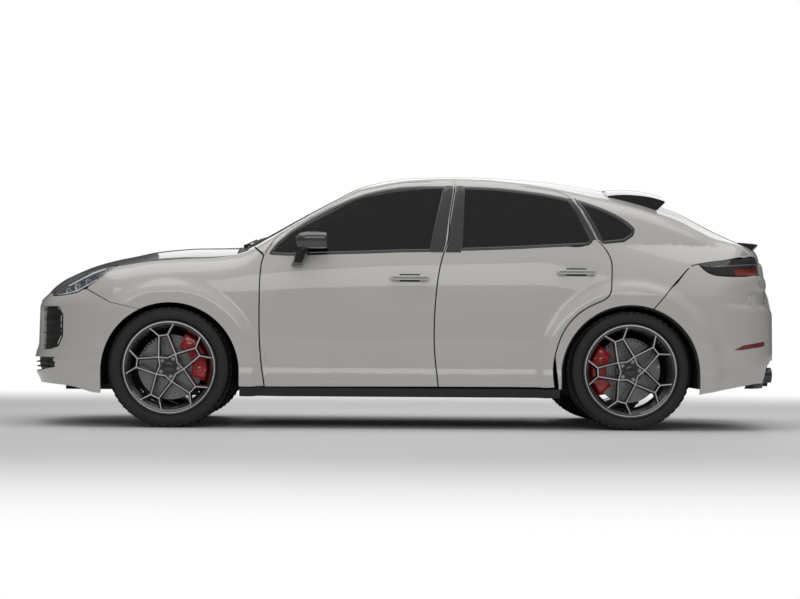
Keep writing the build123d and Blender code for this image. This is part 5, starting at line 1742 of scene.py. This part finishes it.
print("finished", sum(not o.hide_render for o in NODES.values()), "CAD nodes")

# %% [markdown]
# The stage is a pale floor under a pale sky. The sky is dim as a light and in reflections, so
# that the lamps shape the paint, and full white where the camera looks at it. The floor turns
# white away from the car, so that no horizon shows.

# %% Floor and sky
FLOOR_HALF = 60.0
FADE_START, FADE_WIDTH, FADE_STRETCH = 3.4, 4.5, 0.35
SKY_LIGHT = 0.34
SKY_SHINE = (0.12, 0.75, 0.07, 0.55)
floor_mesh = bpy.data.meshes.new("studio_floor")
floor_mesh.from_pydata([(-FLOOR_HALF, -FLOOR_HALF, 0), (FLOOR_HALF, -FLOOR_HALF, 0),
                        (FLOOR_HALF, FLOOR_HALF, 0), (-FLOOR_HALF, FLOOR_HALF, 0)], [],
                       [(0, 1, 2, 3)])
floor = bpy.data.objects.new("studio_floor", floor_mesh)
bpy.context.scene.collection.objects.link(floor)
floor_finish = Finish("pale_studio_floor", (0.80, 0.80, 0.81), 0.55)
floor_finish.tint(floor_finish.noise(1.5, 3.0), 0.99, 1.01)
x, y, _ = floor_finish.axes()
away = ((x * x * FADE_STRETCH + y * y) ** 0.5 - FADE_START) / FADE_WIDTH
away = floor_finish.node("ShaderNodeMapRange", {"interpolation_type": "SMOOTHSTEP"},
                         {"Value": away})
seen = floor_finish.node("ShaderNodeLightPath", output="Is Camera Ray")
white = floor_finish.tree.nodes.new("ShaderNodeEmission")
white.inputs["Color"].default_value = (1.0, 1.0, 1.0, 1.0)
fade = floor_finish.tree.nodes.new("ShaderNodeMixShader")
end = floor_finish.tree.nodes["Material Output"]
floor_finish.join(away * seen, fade.inputs[0])
floor_finish.tree.links.new(floor_finish.shader.outputs[0], fade.inputs[1])
floor_finish.tree.links.new(white.outputs[0], fade.inputs[2])
floor_finish.tree.links.new(fade.outputs[0], end.inputs["Surface"])
floor_mesh.materials.append(floor_finish.material)
floor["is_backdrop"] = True

world = bpy.data.worlds.new("studio")
bpy.context.scene.world = world
world.use_nodes = True
tree = world.node_tree
background = tree.nodes["Background"]
background.inputs["Color"].default_value = (1.0, 1.0, 1.0, 1.0)
rays = tree.nodes.new("ShaderNodeLightPath")
way = tree.nodes.new("ShaderNodeTexCoord")
height = tree.nodes.new("ShaderNodeSeparateXYZ")
tree.links.new(way.outputs["Generated"], height.inputs[0])
shine = tree.nodes.new("ShaderNodeMapRange")
shine.interpolation_type = "SMOOTHSTEP"
tree.links.new(height.outputs["Z"], shine.inputs["Value"])
for label, value in zip(("From Min", "From Max", "To Min", "To Max"), SKY_SHINE):
    shine.inputs[label].default_value = value
strength = SKY_LIGHT
for ray, level in (("Is Glossy Ray", shine.outputs[0]), ("Is Camera Ray", 1.0)):
    step = tree.nodes.new("ShaderNodeMix")
    tree.links.new(rays.outputs[ray], step.inputs["Factor"])
    for value, socket in ((strength, step.inputs[2]), (level, step.inputs[3])):
        if isinstance(value, float):
            socket.default_value = value
        else:
            tree.links.new(value, socket)
    strength = step.outputs[0]
tree.links.new(strength, background.inputs["Strength"])
print("stage ready")

# %% [markdown]
# A car is photographed under one large soft lamp overhead, with a weaker one on each side.
# Large lamps give the broad, soft-edged highlights that show its shape.


# %% Soft lamps
def soft_lamp(name, place, target, size, power):
    light = bpy.data.lights.new(name, "AREA")
    light.shape = "RECTANGLE"
    light.size, light.size_y = size
    light.energy = power
    lamp = bpy.data.objects.new(name, light)
    bpy.context.scene.collection.objects.link(lamp)
    lamp.location = place
    aim = Vector(target) - Vector(place)
    lamp.rotation_euler = aim.to_track_quat("-Z", "Y").to_euler()
    return lamp


soft_lamp("overhead", (0, -0.5, 6.5), (0, 0, 0), (9.0, 5.0), 200)
soft_lamp("camera_side", (-1.0, -11.0, 5.5), (0, 0, 0.6), (10.0, 3.0), 190)
soft_lamp("far_side", (1.5, 10.0, 4.5), (0, 0, 0.8), (9.0, 3.0), 100)
print("lamps ready")

# %% [markdown]
# The photograph was taken level with the sills, from about fourteen metres away. The lens
# points straight across the car, and a small shift frames it as the photograph does.

# %% Camera
camera_data = bpy.data.cameras.new("camera")
camera_data.sensor_width = 36.0
camera_data.lens = 93.3
camera_data.shift_x, camera_data.shift_y = 0.069, 0.042
camera_data.clip_end = 200.0
camera = bpy.data.objects.new("camera", camera_data)
bpy.context.scene.collection.objects.link(camera)
camera.location = (-0.3855, -13.97, 0.60)
camera.rotation_euler = (math.radians(90), math.radians(-0.37), 0)
bpy.context.scene.camera = camera
bpy.context.scene.view_settings.view_transform = "Standard"
print("camera ready")

# %% Sizes
low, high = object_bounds()
print("visual box", [round(v, 3) for v in (*low, *high)])
